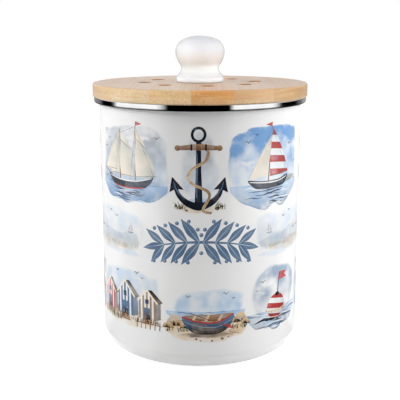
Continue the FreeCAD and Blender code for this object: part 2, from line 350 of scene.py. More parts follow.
@dataclass(frozen=True)
class GlassySkin(Finish):
    """A glassy coloured skin, fired or glazed.

    Attributes:
        thin_colour: its colour where it runs thin.
        wave: depth of its ripple.
        waves_per_metre: how close the ripples lie.
        depth: the share of light that goes into the body under the skin.
        milkiness: how far that light spreads.
        painted_shade_bands: the heights between which the skin passes into each further, darker colour,
            and that colour: a painted shade that stands in for how the lamps fall on it.
    """

    thin_colour: Colour = (0.8, 0.8, 0.8)
    wave: float = 0.004 * MM
    waves_per_metre: float = 210.0
    depth: float = 0.0
    milkiness: float = 9 * MM
    painted_shade_bands: tuple[tuple[float, float, Colour], ...] = ()

    def material(self) -> Material:
        """Builds the material."""
        material, graph, shader = new_material(self.name)
        place = graph.place()
        self.wet_look(graph, shader, place)
        cloud = graph.spread(graph.noise(place, 28.0, detail=3.0), 0.35, 0.75, 0.0, 0.5)
        height = graph.parts(place)["Z"]
        # painted shade: each band darkens the skin between two heights
        painted_shade_bands = ((graph.spread(height, low, high), colour) for low, high, colour in self.painted_shade_bands)
        graph.feed(shader, {
            "Base Color": graph.layered(graph.mix(cloud, self.colour, self.thin_colour), painted_shade_bands),
            "Subsurface Weight": self.depth,
            "Subsurface Scale": self.milkiness,
            "Subsurface Radius": (1.0, 0.95, 0.9),
        })
        return material

    def wet_look(self, graph: Graph, shader: Node, place: Socket) -> None:
        """Gives a shader this skin's gloss and ripple."""
        self.ripple(graph, shader, place, (self.waves_per_metre, self.waves_per_metre * 9), self.wave)


@dataclass(frozen=True)
class TurnedMetal(Finish):
    """Polished, turned or plated metal with fine rings.

    Attributes:
        line_depth: depth of the rings.
        lines_per_metre: how close the rings lie.
    """

    line_depth: float = 0.002 * MM
    lines_per_metre: float = 3000.0

    def material(self) -> Material:
        """Builds the material."""
        material, graph, shader = new_material(self.name)
        place = graph.place()
        lines = graph.group(turning_group(), {
            "Place": place,
            "Lines per Metre": self.lines_per_metre,
            "Smoothest": self.smoothest,
            "Roughest": self.roughest,
        })
        raise_surface(graph, shader, lines["Height"], self.line_depth)
        dull = graph.spread(graph.noise(place, 130.0, detail=4.0), 0.4, 0.8)
        tint = graph.mix(dull, self.colour, dimmed(self.colour, 0.86))
        graph.feed(shader, {"Metallic": 1.0, "Roughness": lines["Roughness"], "Base Color": tint})
        return material


@dataclass(frozen=True)
class RolledSteel(TurnedMetal):
    """The mirror-polished band: its bends mirror as true curves, and a painted shade darkens its crease.

    Attributes:
        top: the height of the roll's top.
        bottom: the height of its underside.
        bend: how much of its height mirrors as the bend above the upright face, and below it; also the
            height over which the painted shade fades out.
        outside: the reach beyond which the painted shade in the crease shows.
        edge: the reach beyond which the roll mirrors by its height.
        fade: the breadth over which both of these set in.
        painted_shade_height: the height up to which the painted shade darkens the steel's colour.
        shade: the colour of that painted shade, drawn in place of the steel's own for the shadow that
            the roll mirrors in its crease.
        lean: how far the steel faces up at its top, and down at its underside.
    """

    top: float = 201.4 * MM
    bottom: float = 196.5 * MM
    bend: float = 0.9 * MM
    outside: float = 80.5 * MM
    edge: float = 83.3 * MM
    fade: float = 0.3 * MM
    painted_shade_height: float = 197.4 * MM
    shade: Colour = (0.02, 0.02, 0.021)
    lean: Point = (0.6, -0.8)

    def material(self) -> Material:
        """Builds the material."""
        material = super().material()
        graph = Graph(material.node_tree)
        shader = material.node_tree.nodes["Principled BSDF"]
        place = graph.place()
        reach, height = graph.reach(place), graph.parts(place)["Z"]
        # painted shade: low on the roll's outside, the steel's colour gives way to a near-black shade
        # for the mirrored shadow in the crease
        outside = graph.spread(reach, self.outside, self.outside + self.fade, 0.0, 0.95)
        below = graph.spread(height, self.painted_shade_height, self.painted_shade_height + self.bend, 1.0, 0.0)
        plain = shader.inputs["Base Color"].links[0].from_socket
        graph.feed(shader, {"Base Color": graph.mix(graph.times(below, outside), plain, self.shade)})
        edge = graph.spread(reach, self.edge, self.edge + self.fade)
        own_way = graph.node("ShaderNodeNewGeometry").outputs["Normal"]
        facing = graph.mix(edge, own_way, self.facing(graph, graph.flat(place), height))
        graph.feed(shader.inputs["Normal"].links[0].from_node, {"Normal": facing})
        return material

    def facing(self, graph: Graph, flat: Socket, height: Socket) -> Socket:
        """The direction that the roll's outer edge faces, from its place."""
        upward = graph.spread(height, self.top - self.bend, self.top, 0.0, self.lean[0])
        downward = graph.spread(height, self.bottom, self.bottom + self.bend, self.lean[1], 0.0)
        rise = graph.maths("ADD", upward, downward)
        level = graph.maths("SQRT", graph.maths("SUBTRACT", 1.0, graph.times(rise, rise), clamp=True))
        away = graph.vector("NORMALIZE", flat)
        outward = graph.vector("MULTIPLY", away, graph.joined(X=level, Y=level))
        return graph.vector("ADD", outward, graph.joined(Z=rise))


@dataclass(frozen=True)
class BambooStave(Finish):
    """One stave of oiled bamboo, whose own colour is that of its softer tissue.

    Attributes:
        deep: colour of the slow darker bands.
        fibre: colour of the fibre bundles.
        toned: colour of the board's edge below its upper rounding, a deeper, warmer painted shade for
            the dark surroundings that the edge mirrors there.
        tone_share: how much of that colour shows.
        seed: shifts the pattern, so that no two staves are alike.
        seams: the places along X of the left and the right glue line.
        top: the height of the board's top face.
        seam_share: how much of the glue's colour shows.
        edge_shade: how much darker the board's edge is.
        top_shade: how much darker the top face's colour is drawn: a painted shade, as if less light fell
            on it.
        straw: colour of the palest streaks round the edge.
        bore: colour of the walls of the vents, a darker brown than the board.
        fleck: colour of the few small dark flecks.
        edge_reach: between which distances from the axis the board's edge sets in.
        vents: how many vents the lid has.
        vent_circle: radius of the circle that the vents lie on.
        vent_radius: a vent's radius.
        vent_turn: the first vent's direction, in degrees from +X.
    """

    deep: Colour = (0.0, 0.0, 0.0)
    fibre: Colour = (0.0, 0.0, 0.0)
    toned: Colour = (0.0, 0.0, 0.0)
    tone_share: float = 0.5
    seed: float = 0.0
    seams: Point = (0.0, 0.0)
    top: float = 0.0
    seam_share: float = 0.1
    edge_shade: Colour = (1.0, 1.0, 1.0)
    top_shade: Colour = (0.65, 0.625, 0.715)
    straw: Colour = srgb(236, 211, 168)
    bore: Colour = srgb(158, 92, 4)
    fleck: Colour = srgb(130, 66, 4)
    edge_reach: Point = (83.6 * MM, 84.8 * MM)
    vents: int = 8
    vent_circle: float = 43.9 * MM
    vent_radius: float = 5 * MM
    vent_turn: float = 7.5

    def material(self) -> Material:
        """Builds the material."""
        material, graph, shader = new_material(self.name)
        place = graph.place()
        fibres = graph.group(fibre_group(), {"Place": place, "Seed": self.seed})
        on_top = self.top_share(graph, place)
        in_vent = self.vent_wall(graph, place)

        def by_face(pattern: Socket, on_edge: float, above: float) -> Socket:
            """A pattern's share, which on the top face differs from that on the board's edge."""
            return graph.times(pattern, graph.spread(on_top, 0.0, 1.0, on_edge, above))

        pale_share, dark_share = self.edge_streaks(graph, place)
        ground = graph.layered(self.colour, (
            (graph.spread(fibres["Tone"], 0.32, 0.68), self.deep),
            # painted shade: the upper half of the board's edge takes the deeper, warmer toned colour
            (self.painted_edge_band(graph, place, fibres["Tone"]), self.toned),
            (pale_share, self.straw),
            (dark_share, self.fibre),
        ))
        # painted shade: the top face's colour is drawn darker than the edge's, as if less light fell on
        # it
        shade = graph.mix(on_top, self.edge_shade, self.top_shade)
        tint = graph.layered(graph.mix(1.0, ground, shade, "MULTIPLY"), (
            (by_face(graph.spread(fibres["Streaks"], 0.44, 0.66), 0.55, 0.11), self.fibre),
            (by_face(fibres["Bundles"], 0.62, 0.4), self.fibre),
            (by_face(fibres["Specks"], 0.6, 0.25), self.fleck),
            (in_vent, self.bore),
            (self.glue_line(graph, place), dimmed(self.fibre, 0.6)),
        ))
        roughness = graph.spread(fibres["Streaks"], 0.3, 0.7, self.smoothest, self.roughest)
        graph.feed(shader, {
            "Base Color": tint,
            "Roughness": graph.maths("MAXIMUM", roughness, in_vent),
            "Coat Weight": graph.spread(in_vent, 0.0, 1.0, 0.36, 0.0),
            "Coat Roughness": 0.22,
        })
        height = graph.maths("SUBTRACT", 1.0, graph.times(fibres["Bundles"], 0.6))
        raise_surface(graph, shader, height, 0.015 * MM)
        return material

    def top_share(self, graph: Graph, place: Socket) -> Socket:
        """1 on the board's top face, whose colour carries a painted shade, and 0 below its rounding."""
        return graph.spread(graph.parts(place)["Z"], self.top - 0.9 * MM, self.top - 0.2 * MM)

    def painted_edge_band(self, graph: Graph, place: Socket, sway: Socket) -> Socket:
        """The share of the toned colour, a painted shade: on the board's edge, from mid-height to the
        upper rounding.
        """
        height = graph.maths("ADD", graph.parts(place)["Z"], graph.times(sway, 3 * MM))
        raised = graph.spread(height, 205.2 * MM, 208.8 * MM, 0.0, self.tone_share)
        return graph.times(graph.spread(graph.reach(place), *self.edge_reach), raised)

    def edge_streaks(self, graph: Graph, place: Socket) -> tuple[Socket, Socket]:
        """The shares of straw and of fibre colour in the streaks that run round the board's edge."""
        parts = graph.parts(place)
        on_edge = graph.spread(graph.reach(place), 83.0 * MM, 84.6 * MM)
        turn = graph.times(graph.maths("ARCTAN2", parts["X"], parts["Y"]), 4.5 * MM)
        lines = graph.noise(graph.joined(X=turn, Z=parts["Z"]), 620.0, detail=3.0, roughness=0.6)
        pale = graph.times(graph.spread(lines, 0.34, 0.47, 0.55, 0.0), on_edge)
        return pale, graph.times(graph.spread(lines, 0.53, 0.68, 0.0, 0.6), on_edge)

    def vent_wall(self, graph: Graph, place: Socket) -> Socket | float:
        """1 on the walls of the vents, fading out over their upper rounding."""
        flat = graph.flat(place)
        left, right = self.seams
        nearest = None
        for number in range(self.vents):
            turn = radians(self.vent_turn + 360 * number / self.vents)
            centre = (self.vent_circle * cos(turn), self.vent_circle * sin(turn), 0)
            if left - self.vent_radius < centre[0] < right + self.vent_radius:
                away = graph.vector("DISTANCE", flat, centre, output="Value")
                nearest = away if nearest is None else graph.maths("MINIMUM", nearest, away)
        if nearest is None:
            return 0.0
        return graph.spread(nearest, self.vent_radius * 1.03, self.vent_radius * 1.2, 1.0, 0.0)

    def glue_line(self, graph: Graph, place: Socket) -> Socket:
        """The share of glue colour: a hair's breadth on this stave's side of each glue line."""
        x = graph.parts(place)["X"]
        near = [graph.maths("ABSOLUTE", graph.maths("SUBTRACT", x, seam)) for seam in self.seams]
        return graph.spread(graph.maths("MINIMUM", *near), 0.05 * MM, 0.22 * MM, self.seam_share, 0.0)


@dataclass(frozen=True)
class MouldedSkin(Finish):
    """Moulded plastic or silicone, with a fine even texture.

    Attributes:
        texture: depth of the texture.
        subsurface: how much light goes through it.
    """

    texture: float = 0.004 * MM
    subsurface: float = 0.0

    def material(self) -> Material:
        """Builds the material."""
        material, graph, shader = new_material(self.name)
        place = graph.place()
        self.ripple(graph, shader, place, (1600.0, 6500.0), self.texture)
        share = graph.spread(graph.noise(place, 40.0, detail=3.0), 0.35, 0.75)
        graph.feed(shader, {
            "Base Color": graph.mix(share, self.colour, dimmed(self.colour, 0.9)),
            "Subsurface Weight": self.subsurface,
            "Subsurface Scale": 1.5 * MM,
        })
        return material


@dataclass(frozen=True)
class CarbonFelt(Finish):
    """Needled felt that is loaded with carbon dust, which gives it its colour.

    Attributes:
        fibre: colour of the fibres that show through the dust.
    """

    fibre: Colour = (0.06, 0.06, 0.062)

    def material(self) -> Material:
        """Builds the material."""
        material, graph, shader = new_material(self.name)
        place = graph.place()
        ways = ((1.0, 0.25, 1.0), (0.25, 1.0, 1.0))
        strands = [graph.noise(graph.stretched(place, *way), 2600.0, 5.0, 0.7) for way in ways]
        web = graph.maths("MAXIMUM", *strands)
        graph.feed(shader, {
            "Base Color": graph.mix(graph.spread(web, 0.55, 0.8), self.colour, self.fibre),
            "Roughness": graph.spread(web, 0.4, 0.8, self.smoothest, self.roughest),
            "Sheen Weight": 0.3,
            "Sheen Roughness": 0.5,
        })
        raise_surface(graph, shader, web, 0.25 * MM)
        return material


class Paint(Enum):
    """The paints of the fired print."""

    NAVY = srgb(20, 26, 38)
    SLATE = srgb(78, 108, 140)
    SLATE_PALE = srgb(138, 160, 184)
    SEA = srgb(58, 112, 156)
    SEA_DEEP = srgb(22, 54, 94)
    SKY = srgb(84, 142, 198)
    SKY_PALE = srgb(166, 194, 220)
    RED = srgb(178, 36, 28)
    RUST = srgb(168, 78, 46)
    SAND = srgb(214, 186, 140)
    SAND_DEEP = srgb(158, 122, 82)
    ROCK = srgb(104, 86, 72)
    ROCK_DARK = srgb(40, 34, 32)
    GRASS = srgb(120, 124, 70)
    GRASS_DEEP = srgb(64, 72, 40)
    MIST = srgb(160, 166, 176)
    CREAM = srgb(234, 222, 198)
    WOOD = srgb(118, 78, 46)
    WHITE = (0.82, 0.82, 0.815)


class Cover(Enum):
    """How a paint meets what lies under it."""

    GLAZE = "clear, so that it tints what lies under it"
    BODY = "opaque, so that it covers it"


def smooth_step(value: Array) -> Array:
    """A soft ramp from 0 to 1 as the value goes from 0 to 1."""
    held = np.clip(value, 0.0, 1.0)
    return held * held * (3 - 2 * held)


def blotches(points: Array, size: float, seed: int) -> Array:
    """Soft uneven patches, as where wet paint has settled.

    Args:
        points: places in millimetres, one in each row.
        size: how large the patches are.
        seed: picks another pattern.

    Returns:
        A value from 0 to 1 for each place.
    """
    cells = 64
    total = np.zeros(len(points))
    weight = 0.0
    for octave in range(3):
        lattice = np.random.RandomState(seed * 7 + octave).rand(cells, cells)
        scaled = points / (size / 2**octave) + 17.3
        corner = np.floor(scaled).astype(int)
        share = smooth_step(scaled - corner)
        u, v = corner[:, 0] % cells, corner[:, 1] % cells
        u2, v2 = (u + 1) % cells, (v + 1) % cells
        near = lattice[u, v] * (1 - share[:, 0]) + lattice[u2, v] * share[:, 0]
        far = lattice[u, v2] * (1 - share[:, 0]) + lattice[u2, v2] * share[:, 0]
        total += (near * (1 - share[:, 1]) + far * share[:, 1]) / 2**octave
        weight += 1 / 2**octave
    return total / weight


def distance_to(points: Array, outline: Array) -> Array:
    """The distance from each point to the nearest place on a closed outline."""
    nearest = np.full(len(points), 1e9)
    for start, end in zip(outline, np.roll(outline, -1, axis=0)):
        run = end - start
        share = np.clip((points - start) @ run / max(run @ run, 1e-9), 0, 1)
        gap = points - start - share[:, None] * run
        nearest = np.minimum(nearest, (gap * gap).sum(axis=1))
    return np.sqrt(nearest)


@dataclass(frozen=True)
class Wash:
    """One mixed paint and how it dries.

    Attributes:
        pigment: its colour.
        load: how much pigment is in the water, from 0 to 1.
        second: the colour that it bleeds into, from the bottom upwards.
        ends: shares of the load at the bottom and the top of the shape.
        tilt: the direction of that change, in degrees from the right.
        soft: how far the paint fades in from its outline, in millimetres.
        rim: how much more pigment dries along a hard outline.
        blotch: how unevenly it dries.
        patch: how large the uneven patches are, in millimetres.
        cover: whether it tints or covers.
    """

    pigment: Paint
    load: float = 0.9
    second: Paint | None = None
    ends: Point = (1.0, 1.0)
    tilt: float = 90.0
    soft: float = 0.0
    rim: float = 0.3
    blotch: float = 0.25
    patch: float = 7.0
    cover: Cover = Cover.GLAZE

    def lay(self, points: Array, outline: Array, seed: int) -> tuple[Array, Array]:
        """Dries the paint on a shape.

        Args:
            points: places on the shape.
            outline: the shape's outline.
            seed: picks the pattern of the patches.

        Returns:
            The colour and the load at each place.
        """
        rim_width = 0.4
        way = np.array((cos(radians(self.tilt)), sin(radians(self.tilt))))
        reach = outline @ way
        along = (points @ way - reach.min()) / max(reach.max() - reach.min(), 1e-6)
        cloud = blotches(points, self.patch, seed)
        load = self.load * (self.ends[0] + (self.ends[1] - self.ends[0]) * smooth_step(along))
        load = load * (1 + self.blotch * (2 * cloud - 1) * 1.8)
        away = distance_to(points, outline)
        if self.soft:
            ragged = self.soft * (0.3 + 1.4 * blotches(points, self.patch * 1.6, seed + 1))
            load = load * smooth_step(away / ragged)
        else:
            load = load * (1 + self.rim * np.exp(-away / rim_width))
        base = np.array(self.pigment.value)
        other = np.array((self.second or self.pigment).value)
        share = smooth_step(along + (cloud - 0.5) * 0.9)[:, None]
        return base + (other - base) * share, np.clip(load, 0, 1)


Shape = tuple[Array, Wash]
Painted = tuple[Array, Array, Array]


def solid(pigment: Paint, load: float = 0.95, second: Paint | None = None, **habit: float) -> Wash:
    """An opaque paint, and how it dries."""
    return Wash(pigment, load, second, cover=Cover.BODY, **habit)


FOAM = solid(Paint.WHITE, rim=0)
TIMBER = solid(Paint.WOOD, rim=0.1)


def signed_area(outline: Array) -> float:
    """The area inside an outline, negative where it runs clockwise."""
    x, y = outline[:, 0], outline[:, 1]
    return 0.5 * float(np.sum(x * np.roll(y, -1) - y * np.roll(x, -1)))


def square_to(run: Array) -> Array:
    """The unit vectors a quarter turn to the left of each of these."""
    side = np.stack([-run[:, 1], run[:, 0]], axis=1)
    return side / np.maximum(np.linalg.norm(side, axis=1, keepdims=True), 1e-9)


def arc_points(centre: Point, radii: Point, start: float, end: float, count: int = 24) -> list[Point]:
    """Points along an arc of an ellipse, with the directions in degrees."""
    turns = [radians(start + (end - start) * k / (count - 1)) for k in range(count)]
    return [(centre[0] + radii[0] * cos(t), centre[1] + radii[1] * sin(t)) for t in turns]


def flowing(points: Sequence[Point], closed: bool, steps: int = 8) -> Array:
    """A smooth curve through points, as a hand draws it."""
    knots = np.array(points, dtype=float)
    count = len(knots)
    made = []
    for k in range(count if closed else count - 1):
        if closed:
            a, b, c, d = (knots[(k + shift) % count] for shift in (-1, 0, 1, 2))
        else:
            a, b, c, d = (knots[min(max(k + shift, 0), count - 1)] for shift in (-1, 0, 1, 2))
        for step in range(steps):
            t = step / steps
            made.append(0.5 * (2 * b + (c - a) * t + (2 * a - 5 * b + 4 * c - d) * t * t
                               + (3 * b - a - 3 * c + d) * t**3))
    if not closed:
        made.append(knots[-1])
    return np.array(made)


def cut_band(outline: Array, way: Point, low: float, high: float) -> Array:
    """The part of an outline between two parallel lines.

    Args:
        outline: the outline.
        way: the direction that the lines are square to.
        low: where the first line lies along that direction.
        high: where the second lies.

    Returns:
        The outline of that part, which may have no points.
    """
    for sign, limit in ((1.0, low), (-1.0, -high)):
        kept = []
        for a, b in zip(outline, np.roll(outline, -1, axis=0)):
            fa = sign * (a @ np.array(way)) - limit
            fb = sign * (b @ np.array(way)) - limit
            if fa >= 0:
                kept.append(a)
            if fa * fb < 0:
                kept.append(a + (b - a) * (fa / (fa - fb)))
        outline = np.array(kept)
        if len(outline) < 3:
            return np.zeros((0, 2))
    return outline


@dataclass
class Sketch:
    """A small picture in the making: painted shapes in order, in millimetres, with +Y up.

    Attributes:
        seed: gives the picture its own wobble and patches.
        shapes: outlines and their paints, from the first laid to the last.
    """

    seed: int
    shapes: list[Shape] = field(default_factory=list)

    def __post_init__(self) -> None:
        """Starts the picture's own run of chance."""
        self.chance = random.Random(self.seed)

    def add(self, outline: Iterable, wash: Wash, wobble: float = 0.1, step: float = 1.2) -> None:
        """Lays a shape.

        Args:
            outline: the corners of its closed outline.
            wash: its paint.
            wobble: how far a hand strays from it.
            step: the longest run between two points of it.
        """
        corners = np.array(list(outline), dtype=float)
        if len(corners) < 3:
            return
        if signed_area(corners) < 0:
            corners = corners[::-1]
        dense = []
        for a, b in zip(corners, np.roll(corners, -1, axis=0)):
            parts = max(1, int(np.linalg.norm(b - a) / step))
            dense.extend(a + (b - a) * k / parts for k in range(parts))
        dense = np.array(dense)
        number = len(self.shapes) + self.seed * 31
        stray = np.stack([blotches(dense, 5.0, key) for key in (number, number + 500)], axis=1) - 0.5
        self.shapes.append((dense + stray * 3 * wobble, wash))

    def blob(self, centre: Point, radii: Point, wash: Wash, rough: float = 0.2, corners: int = 14,
             square: float = 0.0) -> None:
        """Lays an uneven round patch, or a squarer one.

        Args:
            centre: its middle.
            radii: half its width and half its height.
            wash: its paint.
            rough: how uneven it is.
            corners: how many swellings it may have.
            square: from 0, round, to 1, nearly a rectangle.
        """
        ring = []
        power = 1 - 0.62 * square
        for k in range(corners):
            turn = 2 * pi * k / corners
            swell = 1 + rough * self.chance.uniform(-1, 1)
            c, s = cos(turn), sin(turn)
            x = copysign(abs(c) ** power, c) * radii[0] * swell
            y = copysign(abs(s) ** power, s) * radii[1] * swell
            ring.append((centre[0] + x, centre[1] + y))
        self.rounded(ring, wash, 0.35)

    def stroke(self, points: Sequence[Point], widths: Place, wash: Wash, wobble: float = 0.06) -> None:
        """Lays a brush stroke.

        Args:
            points: the line that it follows.
            widths: its width at the start, the middle and the end.
            wash: its paint.
            wobble: how far a hand strays from it.
        """
        line = flowing(points, closed=False) if len(points) > 2 else np.array(points, dtype=float)
        if len(line) == 2:
            steps = int(np.linalg.norm(line[1] - line[0]) / 2)
            line = np.linspace(line[0], line[1], max(3, steps + 2))
        side = square_to(np.gradient(line, axis=0))
        share = np.linspace(0, 1, len(line))
        half = np.interp(share, (0, 0.5, 1), widths)[:, None] / 2
        outline = np.concatenate([line + side * half, (line - side * half)[::-1]])
        self.add(outline, wash, wobble=wobble, step=2.0)

    def dot(self, centre: Point, radius: float, wash: Wash) -> None:
        """Lays a small round dot."""
        self.add(arc_points(centre, (radius, radius), 0, 340, 14), wash, wobble=0.05)

    def band_of(self, outline: Iterable, way: Point, count: int, first: Wash, second: Wash) -> None:
        """Fills an outline with stripes of two paints.

        Args:
            outline: the outline.
            way: the direction across the stripes.
            count: how many stripes there are.
            first: paint of the first stripe and every second one after it.
            second: paint of the others.
        """
        corners = np.array(list(outline), dtype=float)
        reach = corners @ np.array(way)
        for k in range(count):
            low = reach.min() + (reach.max() - reach.min()) * k / count
            high = reach.min() + (reach.max() - reach.min()) * (k + 1) / count
            part = cut_band(corners, way, low, high)
            if len(part) >= 3:
                self.add(part, first if k % 2 == 0 else second, wobble=0.08)

    def threads(self, width: float, wash: Wash, *lines: Sequence[Point]) -> None:
        """Lays lines of even width."""
        for line in lines:
            self.stroke(line, (width, width, width), wash)

    def rounded(self, points: Sequence[Point], wash: Wash, wobble: float = 0.12) -> None:
        """Lays a shape whose outline flows through these points."""
        self.add(flowing(points, closed=True), wash, wobble)

    def sky(self, centre: Point, radii: Point, wash: Wash, square: float = 0.7) -> None:
        """Lays a wash of sky with clouds left open in it."""
        self.blob(centre, radii, wash, rough=0.07, corners=18, square=square)
        for _ in range(4):
            x = centre[0] + self.chance.uniform(-0.6, 0.6) * radii[0]
            y = centre[1] + self.chance.uniform(-0.1, 0.7) * radii[1]
            cloud = solid(Paint.WHITE, 0.7, soft=2.6, blotch=0.4)
            self.blob((x, y), (radii[0] * 0.22, radii[1] * 0.1), cloud, rough=0.3)

    def sea(self, left: float, right: float, top: float, depth: float, pigment: Paint = Paint.SEA,
            deep: Paint = Paint.SEA_DEEP) -> None:
        """Lays water with a straight far edge, a ragged near one, and waves on it.

        Args:
            left: where it starts.
            right: where it ends.
            top: the height of its far edge.
            depth: how far down it reaches.
            pigment: its colour.
            deep: the colour of its waves.
        """
        near = []
        parts = 9
        waves = 16
        for k in range(parts + 1):
            x = right + (left - right) * k / parts
            edge = sin(pi * k / parts) ** 0.5
            near.append((x, top - depth * (0.3 + 0.7 * edge) * self.chance.uniform(0.78, 1.08)))
        far = [(left + (right - left) * k / 6, top) for k in range(1, 6)]
        outline = [(left - 1, top), *far, (right + 1, top), *flowing(near, closed=False)]
        habit = {"ends": (0.85, 1), "rim": 0.4, "blotch": 0.45, "patch": 5.0}
        self.add(outline, Wash(pigment, 0.78, Paint.SKY_PALE, **habit), wobble=0.15)
        for k in range(waves):
            share = (k + self.chance.uniform(0.2, 0.8)) / waves
            y = top - depth * share * 0.9
            reach = (right - left) / 2 * (1 - 0.45 * share)
            middle = (left + right) / 2 + self.chance.uniform(-0.75, 0.75) * reach
            long = self.chance.uniform(3, 9) * (0.6 + share)
            lift = self.chance.uniform(0.2, 0.7)
            start = [(middle - long, y), (middle - long * 0.3, y + lift)]
            line = [*start, (middle + long * 0.4, y - lift * 0.3), (middle + long, y + 0.1)]
            if k % 4 == 3:
                paint = solid(Paint.WHITE, 0.85, rim=0)
            else:
                paint = Wash(deep, self.chance.uniform(0.45, 0.85), blotch=0.4)
            self.stroke(line, (0.1, 0.35 + 0.9 * share, 0.1), paint)

    def gulls(self, *places: Place) -> None:
        """Lays small gulls on the wing, each given by its place and its half span."""
        for x, y, span in places:
            tilt = self.chance.uniform(-0.25, 0.25) * span
            left = [(x - span, y + 0.25 * span + tilt), (x - span * 0.45, y + span * 0.42)]
            right = [(x + span * 0.5, y + span * 0.48), (x + span, y + 0.2 * span - tilt)]
            self.stroke([*left, (x, y), *right], (0.1, 0.75, 0.1), Wash(Paint.NAVY, 0.75, rim=0.1))

    def rock(self, x: float, y: float, width: float, height: float) -> None:
        """Lays a rock: a lit body with darker faces at its foot."""
        body = [(x - width, y)]
        parts = 6
        for k in range(1, parts):
            turn = pi * (1 - k / parts)
            grow = self.chance.uniform(0.78, 1.1)
            body.append((x + width * cos(turn) * grow, y + height * sin(turn) * grow))
        body.append((x + width, y))
        self.add(body, solid(Paint.SAND_DEEP, second=Paint.SAND, blotch=0.4), 0.25)
        for _ in range(4):
            cx = x + self.chance.uniform(-0.6, 0.6) * width
            w = self.chance.uniform(0.16, 0.34) * width
            h = self.chance.uniform(0.3, 0.62) * height * (1 - abs(cx - x) / (1.3 * width))
            rising = [(cx - w, y + 0.2), (cx - w * 0.5, y + h)]
            face = [*rising, (cx + w * 0.4, y + h * 0.8), (cx + w, y + 0.1)]
            pigment = self.chance.choice((Paint.ROCK, Paint.ROCK_DARK, Paint.ROCK))
            self.add(face, Wash(pigment, 0.8, ends=(1.1, 0.6), blotch=0.4), 0.2)

    def pebbles(self, load: float, *places: Place) -> None:
        """Lays pebbles, each given by its place and its size."""
        for x, y, size in places:
            self.blob((x, y), (size * 1.3, size), solid(Paint.ROCK, load), corners=9)

    def grass(self, left: float, right: float, y: float, height: float, count: int) -> None:
        """Lays tufts of dune grass along a line."""
        tints = (Paint.GRASS, Paint.GRASS_DEEP, Paint.SAND_DEEP, Paint.GRASS)
        for _ in range(count):
            x = self.chance.uniform(left, right)
            base = y + self.chance.uniform(-1.2, 0.8)
            tall = height * self.chance.uniform(0.5, 1.1)
            lean = self.chance.uniform(-0.7, 0.7) * tall
            pigment = self.chance.choice(tints)
            blade = [(x, base), (x + lean * 0.25, base + tall * 0.6), (x + lean, base + tall)]
            self.stroke(blade, (0.75, 0.5, 0.1), Wash(pigment, 0.85, rim=0.1))


@dataclass(frozen=True)
class Motif:
    """A small seaside picture.

    Attributes:
        seed: gives the picture its own wobble and patches.
    """

    seed: int

    def draw(self) -> Sketch:
        """The finished picture."""
        art = Sketch(self.seed)
        self.paint(art)
        return art

    def paint(self, art: Sketch) -> None:
        """Lays the picture's shapes."""
        raise NotImplementedError


class Livery(Enum):
    """The colours of a boat's sails, hull and stripe."""

    CREAM = (Paint.CREAM, Paint.NAVY, Paint.RED)
    RUST = (Paint.RUST, Paint.SLATE, Paint.CREAM)
    RED = (Paint.RED, Paint.NAVY, Paint.WHITE)


def bellied(corners: Sequence[Point]) -> Array:
    """A sail's outline with its edges a little curved by the wind."""
    made = []
    points = np.array(corners, dtype=float)
    middle = points.mean(axis=0)
    for a, b in zip(points, np.roll(points, -1, axis=0)):
        half = (a + b) / 2
        out = (half - middle) / max(np.linalg.norm(half - middle), 1e-6)
        bow = out * np.linalg.norm(b - a) * 0.045
        made.extend([a, a * 0.75 + b * 0.25 + bow * 0.75, half + bow, a * 0.25 + b * 0.75 + bow * 0.75])
    return np.array(made)


